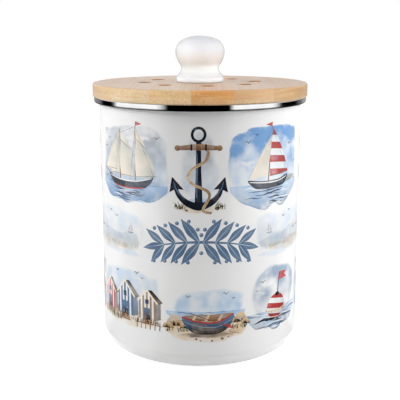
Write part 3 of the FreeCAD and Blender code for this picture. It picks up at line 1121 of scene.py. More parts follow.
@dataclass(frozen=True)
class Schooner(Motif):
    """A two-masted boat under sail."""

    livery: Livery = Livery.CREAM

    def paint(self, art: Sketch) -> None:
        """Lays the picture's shapes."""
        sail, hull, stripe = self.livery.value
        sky = Wash(Paint.SKY_PALE, 0.75, Paint.MIST, soft=1.6, blotch=0.7, patch=11)
        art.sky((0, 4), (33, 27), sky)
        art.blob((-20, -8), (12, 3.2), Wash(Paint.SLATE_PALE, 0.55, soft=1.2))
        art.blob((19, -8.6), (10, 2.4), Wash(Paint.SLATE_PALE, 0.45, soft=1))
        art.sea(-31, 31, -9.5, 15)
        deck = [(-23, -5.5), (-15, -7.2), (0, -8), (14, -6.6), (21, -4)]
        keel = [(18, -9.4), (11, -12.6), (-8, -13.2), (-17, -11.6)]
        art.rounded(deck + keel, solid(hull, 0.97, blotch=0.12))
        rail = [(-21.5, -6.4), (-8, -8.2), (8, -7.7), (20, -4.9)]
        art.stroke(rail, (0.5, 0.8, 0.4), FOAM)
        water_line = [(-17, -11.9), (-6, -13.1), (8, -12.7), (13, -11.6)]
        art.stroke(water_line, (0.4, 1.1, 0.4), solid(stripe))
        art.stroke([(-19, -6), (-30, -2.2)], (0.8, 0.6, 0.3), TIMBER)
        for x, top in ((-8.5, 27), (6.5, 30)):
            art.stroke([(x, -7.5), (x + 0.3, top)], (1.1, 0.9, 0.5), TIMBER)
        shade = Wash(Paint.SLATE_PALE, 0.5, ends=(1, 0.15), tilt=200, blotch=0.5, rim=0.2)
        sails = (
            [(-8, -4.5), (4.5, -4.8), (3.5, 12.5), (-7.6, 18.5)],
            [(7.2, -4.6), (23.5, -3.2), (17.5, 13), (7.4, 20.5)],
            [(-7.4, 19.4), (3, 13.8), (-7.6, 26.4)],
            [(7.5, 21.4), (15.8, 14.8), (6.9, 29)],
            [(-9.4, -4), (-20.5, -4.2), (-9.2, 20)],
            [(-13, -1.5), (-29, -1.8), (-9.5, 25.4)],
        )
        for corners in sails:
            art.add(bellied(corners), solid(sail, 0.96, blotch=0.1, rim=0.05))
            art.add(bellied(corners), shade)
            art.stroke(corners[:2], (0.3, 0.55, 0.3), Wash(Paint.NAVY, 0.65, rim=0))
        stays = ([(-8.4, 26.8), (-30, -2.2)], [(6.8, 29.8), (-8.4, 24)], [(6.8, 29.6), (22, -4.4)])
        shrouds = ([(-8.4, 26), (-14, -6.8)], [(6.8, 28), (1.5, -7.4)])
        art.threads(0.28, Wash(Paint.NAVY, 0.6, rim=0), *stays, *shrouds)
        art.add([(6.8, 30), (6.9, 33.2), (12.4, 31.6)], solid(stripe))
        for x, long, y in ((-9, 7, -14.4), (2, 9, -15.6), (9, 5, -17.2), (-3, 5, -18.6)):
            line = [(x - long, y), (x, y - 0.5), (x + long, y)]
            art.stroke(line, (0.2, 1.2, 0.2), Wash(hull, 0.5, blotch=0.5))
        art.gulls((-22, 19, 3), (-27, 13, 2), (24, 22, 2.6))


@dataclass(frozen=True)
class StripedDinghy(Motif):
    """A small boat with striped sails on a bright day."""

    livery: Livery = Livery.RED

    def paint(self, art: Sketch) -> None:
        """Lays the picture's shapes."""
        sail, hull, stripe = self.livery.value
        habit = {"ends": (0.45, 1.15), "soft": 0.9, "blotch": 0.5, "patch": 9}
        art.sky((0, 5), (34, 27), Wash(Paint.SKY_PALE, 0.8, Paint.SKY, **habit), square=0.85)
        far = Wash(Paint.GRASS, 0.6, Paint.SLATE_PALE, soft=1)
        art.blob((21, -7.5), (11, 3), far)
        art.blob((26, -8), (7, 2), Wash(Paint.SAND, 0.7, soft=0.8))
        art.sea(-33, 33, -9, 18)
        art.stroke([(-2.2, -8), (1.2, 31.5)], (1.2, 1, 0.5), TIMBER)
        main = bellied([(-0.6, -3.6), (20.5, -2.4), (2.2, 30)])
        pale = solid(Paint.WHITE, 0.97, blotch=0.05, rim=0)
        art.band_of(main, (0.1, 0.995), 7, solid(sail, blotch=0.16), pale)
        art.add(main, Wash(Paint.SLATE_PALE, 0.42, ends=(0.1, 1), tilt=20, blotch=0.5))
        jib = bellied([(-3.6, -3.2), (-19.5, -5), (0.6, 25)])
        art.add(jib, solid(Paint.CREAM, 0.97, blotch=0.08, rim=0))
        art.add(jib, Wash(Paint.SLATE, 0.35, ends=(1, 0.2), tilt=180, blotch=0.5))
        deck = [(-20, -5.6), (-8, -7), (8, -7), (19.5, -5)]
        keel = [(16.5, -10.6), (8, -12.6), (-10, -12.6), (-16, -10.4)]
        art.rounded(deck + keel, solid(hull, 0.97, blotch=0.12))
        rail = [(-18.6, -6.9), (-6, -8.3), (8, -8.3), (18.2, -6.3)]
        art.stroke(rail, (0.5, 1, 0.5), solid(stripe, 0.96, rim=0))
        art.stroke([(-0.6, -3.8), (20.8, -2.6)], (0.8, 0.7, 0.5), TIMBER)
        stays = ([(1.2, 31.2), (-19.8, -5.2)], [(1.2, 31), (19.6, -5)])
        art.threads(0.26, Wash(Paint.NAVY, 0.55, rim=0), *stays)
        art.add([(1.2, 31.4), (1.3, 34.6), (-5.2, 33)], solid(Paint.RED))
        for x, long, y in ((0, 15, -13.6), (4, 9, -15.2), (-6, 8, -16.6), (3, 6, -19)):
            line = [(x - long, y), (x - long * 0.4, y - 0.7), (x + long * 0.4, y + 0.1), (x + long, y)]
            art.stroke(line, (0.2, 1.3, 0.2), Wash(Paint.SEA_DEEP, 0.7, blotch=0.5))
        foam = [(-24, -12.4), (-18, -11.2), (-14, -12.6), (-8, -13.4)]
        art.stroke(foam, (0.2, 1.2, 0.3), FOAM)
        art.gulls((-20, 21, 3.2), (-13, 26, 2.2), (22, 17, 2.4))


class BeachHuts(Motif):
    """Three striped beach huts on a dune."""

    def paint(self, art: Sketch) -> None:
        """Lays the picture's shapes."""
        art.sky((0, 9), (36, 20), Wash(Paint.MIST, 0.55, Paint.SKY_PALE, soft=4, blotch=0.6))
        ground = Wash(Paint.SAND, 0.85, Paint.SAND_DEEP, ends=(0.4, 1), soft=2, blotch=0.5)
        art.blob((0, -11), (37, 8), ground, rough=0.1, square=0.3)
        art.blob((-15, -14), (17, 3), Wash(Paint.GRASS, 0.5, soft=1.5, blotch=0.5))
        coats = ((Paint.RED, -23.5, 1), (Paint.SLATE, -0.5, 1.12), (Paint.SAND_DEEP, 22.5, 0.96))
        for pigment, x, scale in coats:
            self.hut(art, x, -9.5, scale, pigment)
        art.grass(-35, 35, -12.5, 4.6, 64)
        art.grass(-34, -6, -15.5, 4, 26)
        fence = solid(Paint.WOOD, 0.85, rim=0.1)
        for k in range(6):
            x = 12.5 + k * 4.2
            art.stroke([(x, -17.5), (x + 0.4, -10.6 + 0.5 * sin(k))], (0.9, 0.8, 0.7), fence)
        art.stroke([(11, -13.4), (22, -12.6), (35, -13.8)], (0.6, 0.7, 0.5), fence)
        art.gulls((-10, 24, 2.6), (13, 26, 3), (18, 22.5, 1.8))

    @staticmethod
    def hut(art: Sketch, x: float, y: float, scale: float, pigment: Paint) -> None:
        """One hut: striped gable, door, window, roof boards and steps.

        Args:
            art: the picture.
            x: the middle of its front.
            y: the height of its floor.
            scale: its size.
            pigment: the paint of its stripes.
        """
        def at(*places: Point) -> list[Point]:
            """Places on the hut."""
            return [(x + dx * scale, y + dy * scale) for dx, dy in places]

        side = at((8, 0), (12.5, 1.5), (12.5, 15.5), (8, 15))
        art.add(side, solid(Paint.MIST, 0.97))
        art.add(side, Wash(pigment, 0.55, blotch=0.4))
        roof = at((0, 24.6), (4.6, 25.2), (14.4, 15.6), (9.6, 13.6))
        art.add(roof, solid(Paint.ROCK, second=Paint.ROCK_DARK, blotch=0.4), 0.12)
        gable = at((-8, 0), (8, 0), (8, 15), (0, 23.4), (-8, 15))
        art.band_of(gable, (1, 0), 9, solid(pigment, blotch=0.2), solid(Paint.WHITE, 0.96, rim=0))
        art.add(gable, Wash(Paint.SLATE_PALE, 0.28, ends=(1, 0.1), tilt=150, blotch=0.6))
        door = at((-2.9, 0), (2.9, 0), (2.9, 9.6), (-2.9, 9.6))
        art.add(door, solid(Paint.NAVY, 0.96, second=Paint.SLATE))
        art.dot(at((1.9, 4.8))[0], 0.4 * scale, solid(Paint.SAND, rim=0))
        window = at((-1.7, 13.2), (1.7, 13.2), (1.7, 16.8), (-1.7, 16.8))
        art.add(window, solid(Paint.SEA_DEEP, 0.9), 0.08)
        boards = (at((0.3, 24.9), (-9.6, 14.4)), at((-0.3, 24.9), (9.8, 14)))
        for board in boards:
            widths = (1.5 * scale, 1.4 * scale, 1.2 * scale)
            art.stroke(board, widths, solid(Paint.CREAM, 0.97, rim=0.1))
        for k in range(3):
            far, near, low, high = 4.2 + k * 0.5, 4.4 + k * 0.5, -1.5 * k, -1.4 * (k + 1)
            step = at((-far, low), (far, low), (near, high), (-near, high))
            art.add(step, solid(Paint.SAND_DEEP, 0.9, second=Paint.WOOD))


class BeachedBoat(Motif):
    """A rowing boat drawn up on the sand between rocks."""

    def paint(self, art: Sketch) -> None:
        """Lays the picture's shapes."""
        sky = Wash(Paint.SKY_PALE, 0.6, soft=3.5, blotch=0.6)
        art.blob((2, 11), (29, 13), sky, rough=0.1, square=0.4)
        art.sea(-31, 30, 5.5, 9)
        beach = Wash(Paint.SAND, 0.92, ends=(0.55, 1), soft=1.8, blotch=0.4)
        art.blob((0, -9), (33, 10.5), beach, rough=0.08, square=0.35)
        art.blob((3, -12.5), (24, 4), Wash(Paint.SAND_DEEP, 0.5, soft=1.6, blotch=0.6))
        foam = [(-31, 0.4), (-20, -0.8), (-8, 1.2), (6, -0.4), (18, 1.4), (29, 0.6)]
        art.stroke(foam, (0.4, 1.6, 0.4), solid(Paint.WHITE, 0.92, rim=0))
        left = ((-24, -6.5, 7.5, 10.5), (-30, -8.5, 5, 6.5), (-16.5, -8, 4.2, 4.6))
        for rock in (*left, (26, -4.5, 6.5, 9), (31.5, -6.5, 4.4, 5.2)):
            art.rock(*rock)
        art.blob((2, -13.2), (20, 2.4), Wash(Paint.ROCK_DARK, 0.6, soft=1.2), rough=0.15)
        rail = [(-19, 1.4), (-8, -2.2), (8, -2.8), (21, 3.2)]
        keel = [(18.5, -6), (10, -11.8), (-6, -12.4), (-15, -8)]
        art.rounded(rail + keel, solid(Paint.NAVY, 0.97, Paint.SLATE, blotch=0.25))
        inside = [(-18.4, 1.7), (-6, 3), (8, 3.4), (20.2, 3.4), (9, -1.9), (-6, -1.6)]
        art.rounded(inside, solid(Paint.WOOD, 0.96, Paint.SAND_DEEP, blotch=0.4), 0.1)
        for x in (-9.5, 0.5, 10.5):
            art.stroke([(x - 1.2, -1.7), (x + 1.4, 2.9)], (1.8, 1.7, 1.4), solid(Paint.SAND))
        top = [(-18.6, 1.2), (-7, -2.4), (8, -3), (20.8, 2.9)]
        art.stroke(top, (0.9, 1.3, 0.8), solid(Paint.RED, 0.96))
        strake = [(-17.4, -2.4), (-7, -6), (8, -6.8), (19, -1.8)]
        art.stroke(strake, (0.3, 0.6, 0.3), solid(Paint.SLATE_PALE, 0.8, rim=0))
        strake = [(-15.4, -6), (-6, -9.6), (8, -10.2), (16, -6.6)]
        art.stroke(strake, (0.3, 0.5, 0.3), Wash(Paint.NAVY, 0.7, rim=0))
        art.threads(0.7, TIMBER, [(-13, 4.6), (14, -5.6)])
        art.stroke([(14, -5.6), (20.5, -8.2)], (0.9, 2.4, 1.8), solid(Paint.RED))
        art.stroke([(20.8, 1.6), (24, -6), (18, -11), (26, -13.2)], (0.5, 0.5, 0.4), TIMBER)
        art.grass(-33, -14, -10.5, 4.2, 22)
        art.grass(20, 34, -9, 4.2, 18)
        art.pebbles(0.8, (-8, -16.2, 0.8), (-4.6, -17.4, 0.6), (12, -16.4, 0.9), (16.6, -15.4, 0.6),
                    (4, -17.8, 0.7))
        art.gulls((-14, 17, 2.6), (15, 19, 3.2), (21, 15, 2))


class RoundBuoy(Motif):
    """A ball-shaped buoy with a pennant in a swell."""

    def paint(self, art: Sketch) -> None:
        """Lays the picture's shapes."""
        habit = {"ends": (0.6, 1), "soft": 3, "blotch": 0.7, "patch": 9}
        art.sky((0, 7), (27, 22), Wash(Paint.MIST, 0.75, Paint.SLATE_PALE, **habit), square=0.4)
        art.sea(-29, 29, -6.5, 17, Paint.SLATE, Paint.NAVY)
        art.stroke([(1.4, 3), (3.4, 22)], (1.1, 0.9, 0.7), solid(Paint.NAVY))
        pennant = [(3.4, 22.2), (2.7, 15.6), (13.8, 16.4), (10.6, 18.8), (14.4, 21.4)]
        art.add(pennant, solid(Paint.RED, 0.96, blotch=0.3), 0.25)
        ball = arc_points((0.4, -4.6), (10.6, 10.2), 0, 350, 36)
        tilted = (sin(radians(12)), cos(radians(12)))
        red = solid(Paint.RED, 0.96, blotch=0.2)
        art.band_of(ball, tilted, 5, red, solid(Paint.WHITE, 0.97, rim=0))
        art.add(ball, Wash(Paint.NAVY, 0.5, ends=(1, 0), tilt=125, blotch=0.3, rim=0.3))
        art.blob((-3.4, 0.2), (1.9, 1.3), solid(Paint.WHITE, 0.8, soft=0.9), rough=0.1)
        art.add(arc_points((1.3, 5), (2.6, 1.7), 0, 340, 16), solid(Paint.NAVY), 0.06)
        ring = arc_points((0.4, -4.8), (12.4, 3.6), 195, 345, 16)
        art.stroke(ring, (0.6, 1.5, 0.6), solid(Paint.SAND, 0.96))
        ticks = [[(x - 0.5, y - 0.7), (x + 0.4, y + 0.7)] for x, y in ring[1:15:2]]
        art.threads(0.4, Wash(Paint.WOOD, 0.8, rim=0), *ticks)
        swell = (
            (-26, -9.5, 10, 2.6, Paint.SLATE),
            (24, -11, 9, 2.4, Paint.SLATE),
            (-10, -14.5, 13, 3, Paint.NAVY),
            (12, -15.5, 13, 2.8, Paint.SEA_DEEP),
            (0, -19.5, 12, 2.2, Paint.SLATE),
        )
        for x, y, long, high, pigment in swell:
            rising = [(x - long, y - 0.6), (x - long * 0.3, y + high * 0.5)]
            crest = [*rising, (x + long * 0.25, y + high * 0.2), (x + long, y - 0.4)]
            art.stroke(crest, (0.3, high, 0.3), solid(pigment, 0.9, blotch=0.4), 0.2)
            raised = [(px, py + high * 0.5) for px, py in crest]
            art.stroke(raised, (0.2, 0.7, 0.2), solid(Paint.WHITE, 0.9, rim=0))
        art.gulls((-15, 17, 3), (-20, 11, 2))


class FadedDunes(Motif):
    """Dunes and small sails in pale washes."""

    def paint(self, art: Sketch) -> None:
        """Lays the picture's shapes."""
        sky = Wash(Paint.MIST, 0.4, Paint.SKY_PALE, soft=5, blotch=0.6)
        art.blob((0, 4), (36, 16), sky, rough=0.1, square=0.6)
        hills = (
            ((-10, -1), (24, 5.5), Wash(Paint.SLATE_PALE, 0.3, soft=1.4, blotch=0.5), 0.2),
            ((14, -3), (20, 6), Wash(Paint.GRASS, 0.24, Paint.SLATE_PALE, soft=1.2), 0.2),
            ((-6, -8), (30, 5), Wash(Paint.SAND, 0.42, soft=1.6, blotch=0.5), 0.15),
            ((8, -12), (26, 4), Wash(Paint.SKY_PALE, 0.4, soft=2, blotch=0.5), 0.15),
        )
        for hill in hills:
            art.blob(*hill)
        for x, y, tall in ((-20, 3, 9), (-11, 2, 6), (22, 4, 7)):
            wide, narrow, keel = tall * 0.45, tall * 0.3, y - tall * 0.16
            hull = [(x - wide, y), (x + wide, y), (x + narrow, keel), (x - narrow, keel)]
            art.add(hull, Wash(Paint.SLATE, 0.5))
            main = [(x + 0.4, y + 0.6), (x + tall * 0.42, y + 0.9), (x + 0.5, y + tall)]
            art.add(main, Wash(Paint.RED, 0.3, rim=0.3), 0.12)
            jib = [(x - 0.4, y + 0.6), (x - tall * 0.38, y + 0.7), (x - 0.1, y + tall * 0.85)]
            art.add(jib, Wash(Paint.SLATE_PALE, 0.4, rim=0.3), 0.12)
        pale = Wash(Paint.GRASS_DEEP, 0.26, rim=0.1)
        for _ in range(30):
            x = art.chance.uniform(-28, 30)
            y = -6 - 3 * art.chance.random()
            tip = (x + art.chance.uniform(-2, 2), y + art.chance.uniform(2, 4))
            art.stroke([(x, y), tip], (0.6, 0.4, 0.1), pale)
        art.gulls((6, 13, 2.4), (-2, 16, 1.8))


class Anchor(Motif):
    """A tall iron anchor with a wooden stock and a rope round its shank."""

    def paint(self, art: Sketch) -> None:
        """Lays the picture's shapes."""
        haze = Wash(Paint.SKY_PALE, 0.5, Paint.MIST, soft=4, blotch=0.7, patch=9)
        art.blob((1, 0), (15, 27), haze, rough=0.15)
        sand = Wash(Paint.SAND, 0.75, Paint.SKY_PALE, soft=1.6, blotch=0.6)
        art.blob((0, -24), (19, 5), sand)
        iron = solid(Paint.NAVY, 0.98, blotch=0.05, rim=0.1)
        sheen = solid(Paint.SLATE, 0.85, rim=0, blotch=0.4)
        rope = solid(Paint.SAND, 0.97, second=Paint.SAND_DEEP, tilt=0)
        art.threads(1.9, iron, arc_points((0, 26), (4.4, 4.6), -80, 260, 30))
        over, under = [(0.5, 20.5), (6.5, 14), (4.5, 7.5)], [(-7.5, -4), (-3, -9), (4.5, -12.5)]
        art.threads(1.9, rope, [*over, (-4.5, 2), *under])
        art.stroke([(0, 22.3), (0, 0), (0, -22)], (3.2, 3.8, 5.6), iron)
        left = [(-16.5, -9.5), (-14.2, -16), (-8.5, -21.6)]
        right = [(-x, y) for x, y in reversed(left)]
        art.stroke([*left, (0, -24.4), *right], (2.2, 5.6, 2.2), iron)
        for side in (-1, 1):
            fluke = ((18.6, -3.6), (20.6, -14.6), (15.6, -12), (10.4, -12.4))
            art.add([(side * x, y) for x, y in fluke], iron, 0.12)
            glint = ((17.6, -6.4), (15.4, -12.6), (9.6, -19.2))
            art.stroke([(side * x, y) for x, y in glint], (0.3, 1.1, 0.4), sheen)
        wood = solid(Paint.WOOD, 0.98, second=Paint.SAND_DEEP, blotch=0.4)
        art.stroke([(-14.5, 16.6), (0, 17.4), (14.5, 16.6)], (2.6, 4.4, 2.6), wood)
        for side in (-1, 1):
            art.dot((side * 14.6, 16.6), 2, wood)
            art.threads(1.2, iron, [(side * 5, 15), (side * 5, 19.4)])
        art.stroke([(-1, 13.6), (-1.1, 0), (-1.4, -18)], (0.3, 1.3, 0.6), sheen)
        art.stroke([(-3.1, 28.6), (-1.4, 30.2)], (0.3, 0.9, 0.3), sheen)
        crossing = [(6.6, 13.2), (4.6, 7.6), (0, 4.8), (-4.6, 2), (-7.4, -2.6)]
        round_shank = [(-5.4, -7.4), (-3, -9.2), (2, -11.2), (6.6, -14)]
        for loop in (crossing, [*round_shank, (7.4, -18), (3, -27), (9, -29)]):
            art.stroke(loop, (1.8, 2.1, 1.8), rope)
            for x, y in flowing(loop, closed=False, steps=4):
                twist = [(x - 0.7, y - 0.6), (x + 0.6, y + 0.8)]
                art.stroke(twist, (0.3, 0.35, 0.3), Wash(Paint.WOOD, 0.7, rim=0))
        art.pebbles(0.9, (-12, -25.4, 1.1), (-8.5, -27.2, 0.8), (13, -25.8, 1.3), (-15.8, -23.8, 0.7),
                    (16.5, -24.2, 0.8))
        art.grass(-19, -8, -25.5, 4.2, 14)
        art.grass(9, 19, -25.5, 4.2, 12)


@dataclass(frozen=True)
class Garland(Motif):
    """A bold garland of broad leaves and berries with a thin white edge.

    Attributes:
        reach: half its width.
        pairs: how many pairs of leaves each half has.
        longest: length of the leaves in the middle.
        shortest: length of those at the ends.
    """

    reach: float = 45.0
    pairs: int = 4
    longest: float = 22.0
    shortest: float = 17.0

    def paint(self, art: Sketch) -> None:
        """Lays the picture's shapes."""
        leaves = []
        berries = [(0, 8.4), (-2.6, 12.6), (2.6, 12.6), (0, -5.2)]
        end = self.reach - self.shortest
        for side in (-1, 1):
            for k in range(self.pairs):
                share = k / self.pairs
                x = 1.5 + (end - 1.5) * k / (self.pairs - 1)
                size = self.longest + (self.shortest - self.longest) * share
                for lean in (-1, 1):
                    way = lean * (52 - 10 * share) - 12 * share
                    leaves.append((side * x, self.stem(x), way if side > 0 else 180 - way, size))
                berries.append((side * (x + 7.6), self.stem(x) + 15.5 - 5 * share))
                berries.append((side * (x + 8.4), self.stem(x) - 15.5 + 3 * share))
            leaves.append((side * end, self.stem(end), -14 if side > 0 else 194, self.shortest + 1))
        halo = solid(Paint.WHITE, 0.96, rim=0, blotch=0)
        for x, y, way, size in leaves:
            art.add(self.leaf(x, y, way, size + 2.2, 1), halo, 0.05)
        for place in berries:
            art.dot(place, 2.3, halo)
        slate = solid(Paint.SLATE, 0.98, blotch=0.06, rim=0)
        art.stroke([(x, self.stem(x)) for x in range(-30, 31, 10)], (0.8, 2.2, 0.8), slate)
        for x, y, way, size in leaves:
            shape = self.leaf(x, y, way, size, 0)
            art.add(shape, slate, 0.08)
            art.add(shape, Wash(Paint.NAVY, 0.14, ends=(1, 0), tilt=way, blotch=0.4), 0.08)
            turn = radians(way)
            tip = (x + 0.8 * size * cos(turn), y + 0.8 * size * sin(turn))
            art.stroke([(x, y), tip], (0.6, 0.5, 0.1), solid(Paint.SKY_PALE, 0.75, rim=0))
        for x, y in berries:
            art.dot((x, y), 1.5, slate)
            art.dot((x - 0.5, y + 0.5), 0.4, solid(Paint.SKY_PALE, 0.9, rim=0))

    def stem(self, x: float) -> float:
        """The height of the drooping stem."""
        return 3.0 - 7.0 * (x / self.reach) ** 2

    @staticmethod
    def leaf(x: float, y: float, way: float, length: float, grow: float) -> Array:
        """A leaf's outline.

        Args:
            x: where its stalk starts.
            y: the height of that place.
            way: the direction that it points to, in degrees.
            length: its length.
            grow: how much wider it is drawn on each side.

        Returns:
            The outline.
        """
        turn = radians(way)
        along = np.array((cos(turn), sin(turn)))
        across = np.array((-along[1], along[0]))
        start = np.array((x, y)) - along * grow
        shape = ((0, 0.02), (0.2, 0.1), (0.45, 0.155), (0.7, 0.115), (0.9, 0.04), (1, 0))
        upper, lower = (
            [start + along * length * a + side * across * (length * b + grow) for a, b in shape]
            for side in (1, -1)
        )
        return flowing([*upper, *lower[-2::-1]], closed=True, steps=4)


@dataclass(frozen=True)
class Placing:
    """Where a picture stands on the wall.

    Attributes:
        name: the picture's name.
        motif: the picture.
        along: how far its middle is from the front, along the wall, in millimetres.
        height: the height of its middle, in millimetres.
        scale: its size.
        mirrored: whether it is turned over, left to right.
        lift: how far it stands off the wall, in millimetres; a picture on top of another stands higher.
    """

    name: str
    motif: Motif
    along: float
    height: float
    scale: float = 1.0
    mirrored: bool = False
    lift: float = 0.05


@dataclass(frozen=True)
class FiredPrint:
    """The ceramic colours of the print, melted into the enamel.

    Attributes:
        enamel: the enamel that they lie in.
        grain: how much the pigment's grains show, which is less where it is dark.
        grains_per_metre: how fine the grains are.
    """

    enamel: GlassySkin
    grain: float = 0.6
    grains_per_metre: float = 1900.0

    def material(self) -> Material:
        """Builds the material."""
        material, graph, shader = new_material("fired_print")
        place = graph.place()
        self.enamel.wet_look(graph, shader, place)
        paint = graph.node("ShaderNodeAttribute", attribute_name="pigment").outputs["Color"]
        pattern = graph.noise(place, self.grains_per_metre, detail=3.0)
        grains = graph.spread(pattern, 0.3, 0.7, 0.0, self.grain)
        lighter = graph.mix(graph.times(grains, paint), paint, self.enamel.colour)
        graph.feed(shader, {"Base Color": lighter})
        return material


@dataclass
class PrintedWall:
    """The fired print: a ring of small pictures, the same on the front and the back.

    Attributes:
        radius: the wall's radius, in millimetres.
        ground: the enamel's colour.
        material: the print's material.
        spacing: the distance between the points that hold the colour, in millimetres.
        stray: how far each of them strays from its place, as a share of the spacing.
        inset: how far inside an outline a second row of points lies, in millimetres.
        smallest: the area below which a shape has no such row, in square millimetres.
        faintest: the change of colour below which the wall is left bare.
        lowest: where the wall starts to curve in, below which nothing is printed.
        pictures: the pictures of half the ring, from the top row to the bottom one.
    """

    radius: float
    ground: Colour
    material: Material
    spacing: float = 1.25
    stray: float = 0.22
    inset: float = 0.55
    smallest: float = 12.0
    faintest: float = 0.004
    lowest: float = 13.4
    pictures: tuple[Placing, ...] = (
        Placing("schooner", Schooner(3), -58, 152, 1.08),
        Placing("anchor", Anchor(37), -1, 153, 1.04, lift=0.07),
        Placing("striped_boat", StripedDinghy(11), 57, 151, 1.04),
        Placing("side_anchor", Anchor(41), 126, 152, 0.96, True),
        Placing("dunes_left", FadedDunes(5), -80, 100, 1.05, lift=0.04),
        Placing("dunes_right", FadedDunes(17), 80, 100, 1.05, True, lift=0.04),
        Placing("huts", BeachHuts(7), -64, 47, 0.98),
        Placing("beached_boat", BeachedBoat(13), 5, 42, 0.98, lift=0.06),
        Placing("buoy", RoundBuoy(19), 66, 48, 1.0),
        Placing("side_schooner", Schooner(29, Livery.RUST), 127, 50, 0.86, True),
        Placing("garland", Garland(31), 1, 98, 1.0, lift=0.08),
    )

    def build(self) -> list[str]:
        """Makes every picture twice, half a turn apart, and gives the pieces' names."""
        names = []
        for placing in self.pictures:
            painted = self.paint(placing)
            for side, turn in (("front", 0.0), ("back", pi)):
                names.append(self.skin(f"print_{placing.name}_{side}", placing.lift, painted, turn))
        return names

    def paint(self, placing: Placing) -> Painted:
        """Paints a picture flat.

        Args:
            placing: the picture and its place.

        Returns:
            Points along and up the wall, triangles between them, and a colour for each corner.
        """
        seed = placing.motif.seed
        shapes = placing.motif.draw().shapes
        ground = np.array(self.ground)
        flat, triangles, covered = self.cut_up(shapes, seed)
        colours = np.tile(ground, (len(triangles), 3, 1))
        for number, (outline, wash) in enumerate(shapes):
            mine = np.nonzero(covered[number])[0]
            if not len(mine):
                continue
            used, back = np.unique(triangles[mine], return_inverse=True)
            colour, load = wash.lay(flat[used], outline, seed * 13 + number)
            colour, load = colour[back].reshape(-1, 3, 3), load[back].reshape(-1, 3, 1)
            under = colours[mine]
            over = under * colour / ground if wash.cover is Cover.GLAZE else colour
            colours[mine] = under + (over - under) * load
        sign = -1 if placing.mirrored else 1
        flat = flat * placing.scale * np.array((sign, 1)) + np.array((placing.along, placing.height))
        flat[:, 1] = np.maximum(flat[:, 1], self.lowest)
        if placing.mirrored:
            triangles, colours = triangles[:, ::-1], colours[:, ::-1]
        bare = np.abs(colours - ground).max(axis=(1, 2)) < self.faintest
        return flat, triangles[~bare], colours[~bare]

    def cut_up(self, shapes: Sequence[Shape], seed: int) -> Painted:
        """Cuts a picture into small triangles, none of which crosses an outline.

        Args:
            shapes: the picture's outlines and their paints.
            seed: strays the points of its grid.

        Returns:
            The points, the triangles between them, and for each shape which of those it covers.
        """
        faces: list[list[int]] = []
        count = 0
        for outline, _ in shapes:
            faces.append(list(range(count, count + len(outline))))
            count += len(outline)
        corners = np.concatenate([outline for outline, _ in shapes])
        low, high = corners.min(axis=0), corners.max(axis=0)
        columns, rows = np.ceil((high - low) / self.spacing).astype(int)
        grid = np.stack(np.meshgrid(np.arange(columns), np.arange(rows)), axis=-1).reshape(-1, 2) + 0.5
        stray = np.random.RandomState(seed).uniform(-self.stray, self.stray, grid.shape)
        grid = low + (grid + stray) * self.spacing
        points = [Vector(p) for p in (*corners, *grid, *self.inner_points(shapes))]
        flat, _, triangles, _, _, origins = delaunay_2d_cdt(points, [], faces, 1, 1e-4, True)
        covered = np.zeros((len(shapes), len(triangles)), dtype=bool)
        for number, found in enumerate(origins):
            covered[found, number] = True
        return np.array([tuple(p) for p in flat]), np.array(triangles), covered

    def inner_points(self, shapes: Sequence[Shape]) -> Array:
        """Points just inside the larger outlines, where a wash dries darker or fades."""
        made = []
        for outline, wash in shapes:
            if signed_area(outline) < self.smallest:
                continue
            run = np.roll(outline, -1, axis=0) - np.roll(outline, 1, axis=0)
            made.append((outline + square_to(run) * self.inset)[::1 if wash.soft == 0 else 2])
        return np.concatenate(made)

    def skin(self, name: str, lift: float, painted: Painted, turn: float) -> str:
        """Bends a painted picture round the wall.

        Args:
            name: the piece's name.
            lift: how far it stands off the wall, in millimetres.
            painted: its points along and up the wall, its triangles and their colours.
            turn: how far round from the front it goes, in radians.

        Returns:
            The piece's name.
        """
        flat, triangles, colours = painted
        angle = flat[:, 0] / self.radius + turn
        normals = np.stack([np.sin(angle), -np.cos(angle), np.zeros(len(flat))], axis=1)
        places = normals * (self.radius + lift)
        places[:, 2] = flat[:, 1]
        data = bpy.data.meshes.new(name)
        data.from_pydata((places * MM).tolist(), [], triangles.tolist())
        layer = data.color_attributes.new(name="pigment", type="FLOAT_COLOR", domain="CORNER")
        filled = np.concatenate([colours, np.ones((*colours.shape[:2], 1))], axis=2)
        layer.data.foreach_set("color", filled.reshape(-1))
        data.shade_smooth()
        data.normals_split_custom_set_from_vertices(normals.tolist())
        data.materials.append(self.material)
        piece = new_object(name, data)
        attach(piece, "bucket")
        return name


def dress(node: str, material: Material) -> None:
    """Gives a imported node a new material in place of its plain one."""
    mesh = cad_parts[node].data
    mesh.materials.clear()
    mesh.materials.append(material)


@dataclass
class Bucket:
    """The enamelled bucket, its rim band and the print on its wall.

    Attributes:
        wall_radius: the wall's radius, in millimetres.
        enamel: the finish of the shell.
        rim: the finish of the band.
    """

    wall_radius: float = 80.0
    enamel: GlassySkin = GlassySkin("white_enamel", (0.80, 0.80, 0.795), thin_colour=(0.77, 0.775, 0.78))
    rim: RolledSteel = RolledSteel("mirror_steel", (0.94, 0.94, 0.935), 0.03, 0.07, 0.0004 * MM, 2600.0)

    def build(self) -> list[str]:
        """Dresses the bucket's nodes, adds the print and gives their names."""
        dress("bucket_shell", self.enamel.material())
        dress("rim_band", self.rim.material())
        printed = PrintedWall(self.wall_radius, self.enamel.colour, FiredPrint(self.enamel).material())
        return ["bucket_shell", "rim_band", *printed.build()]


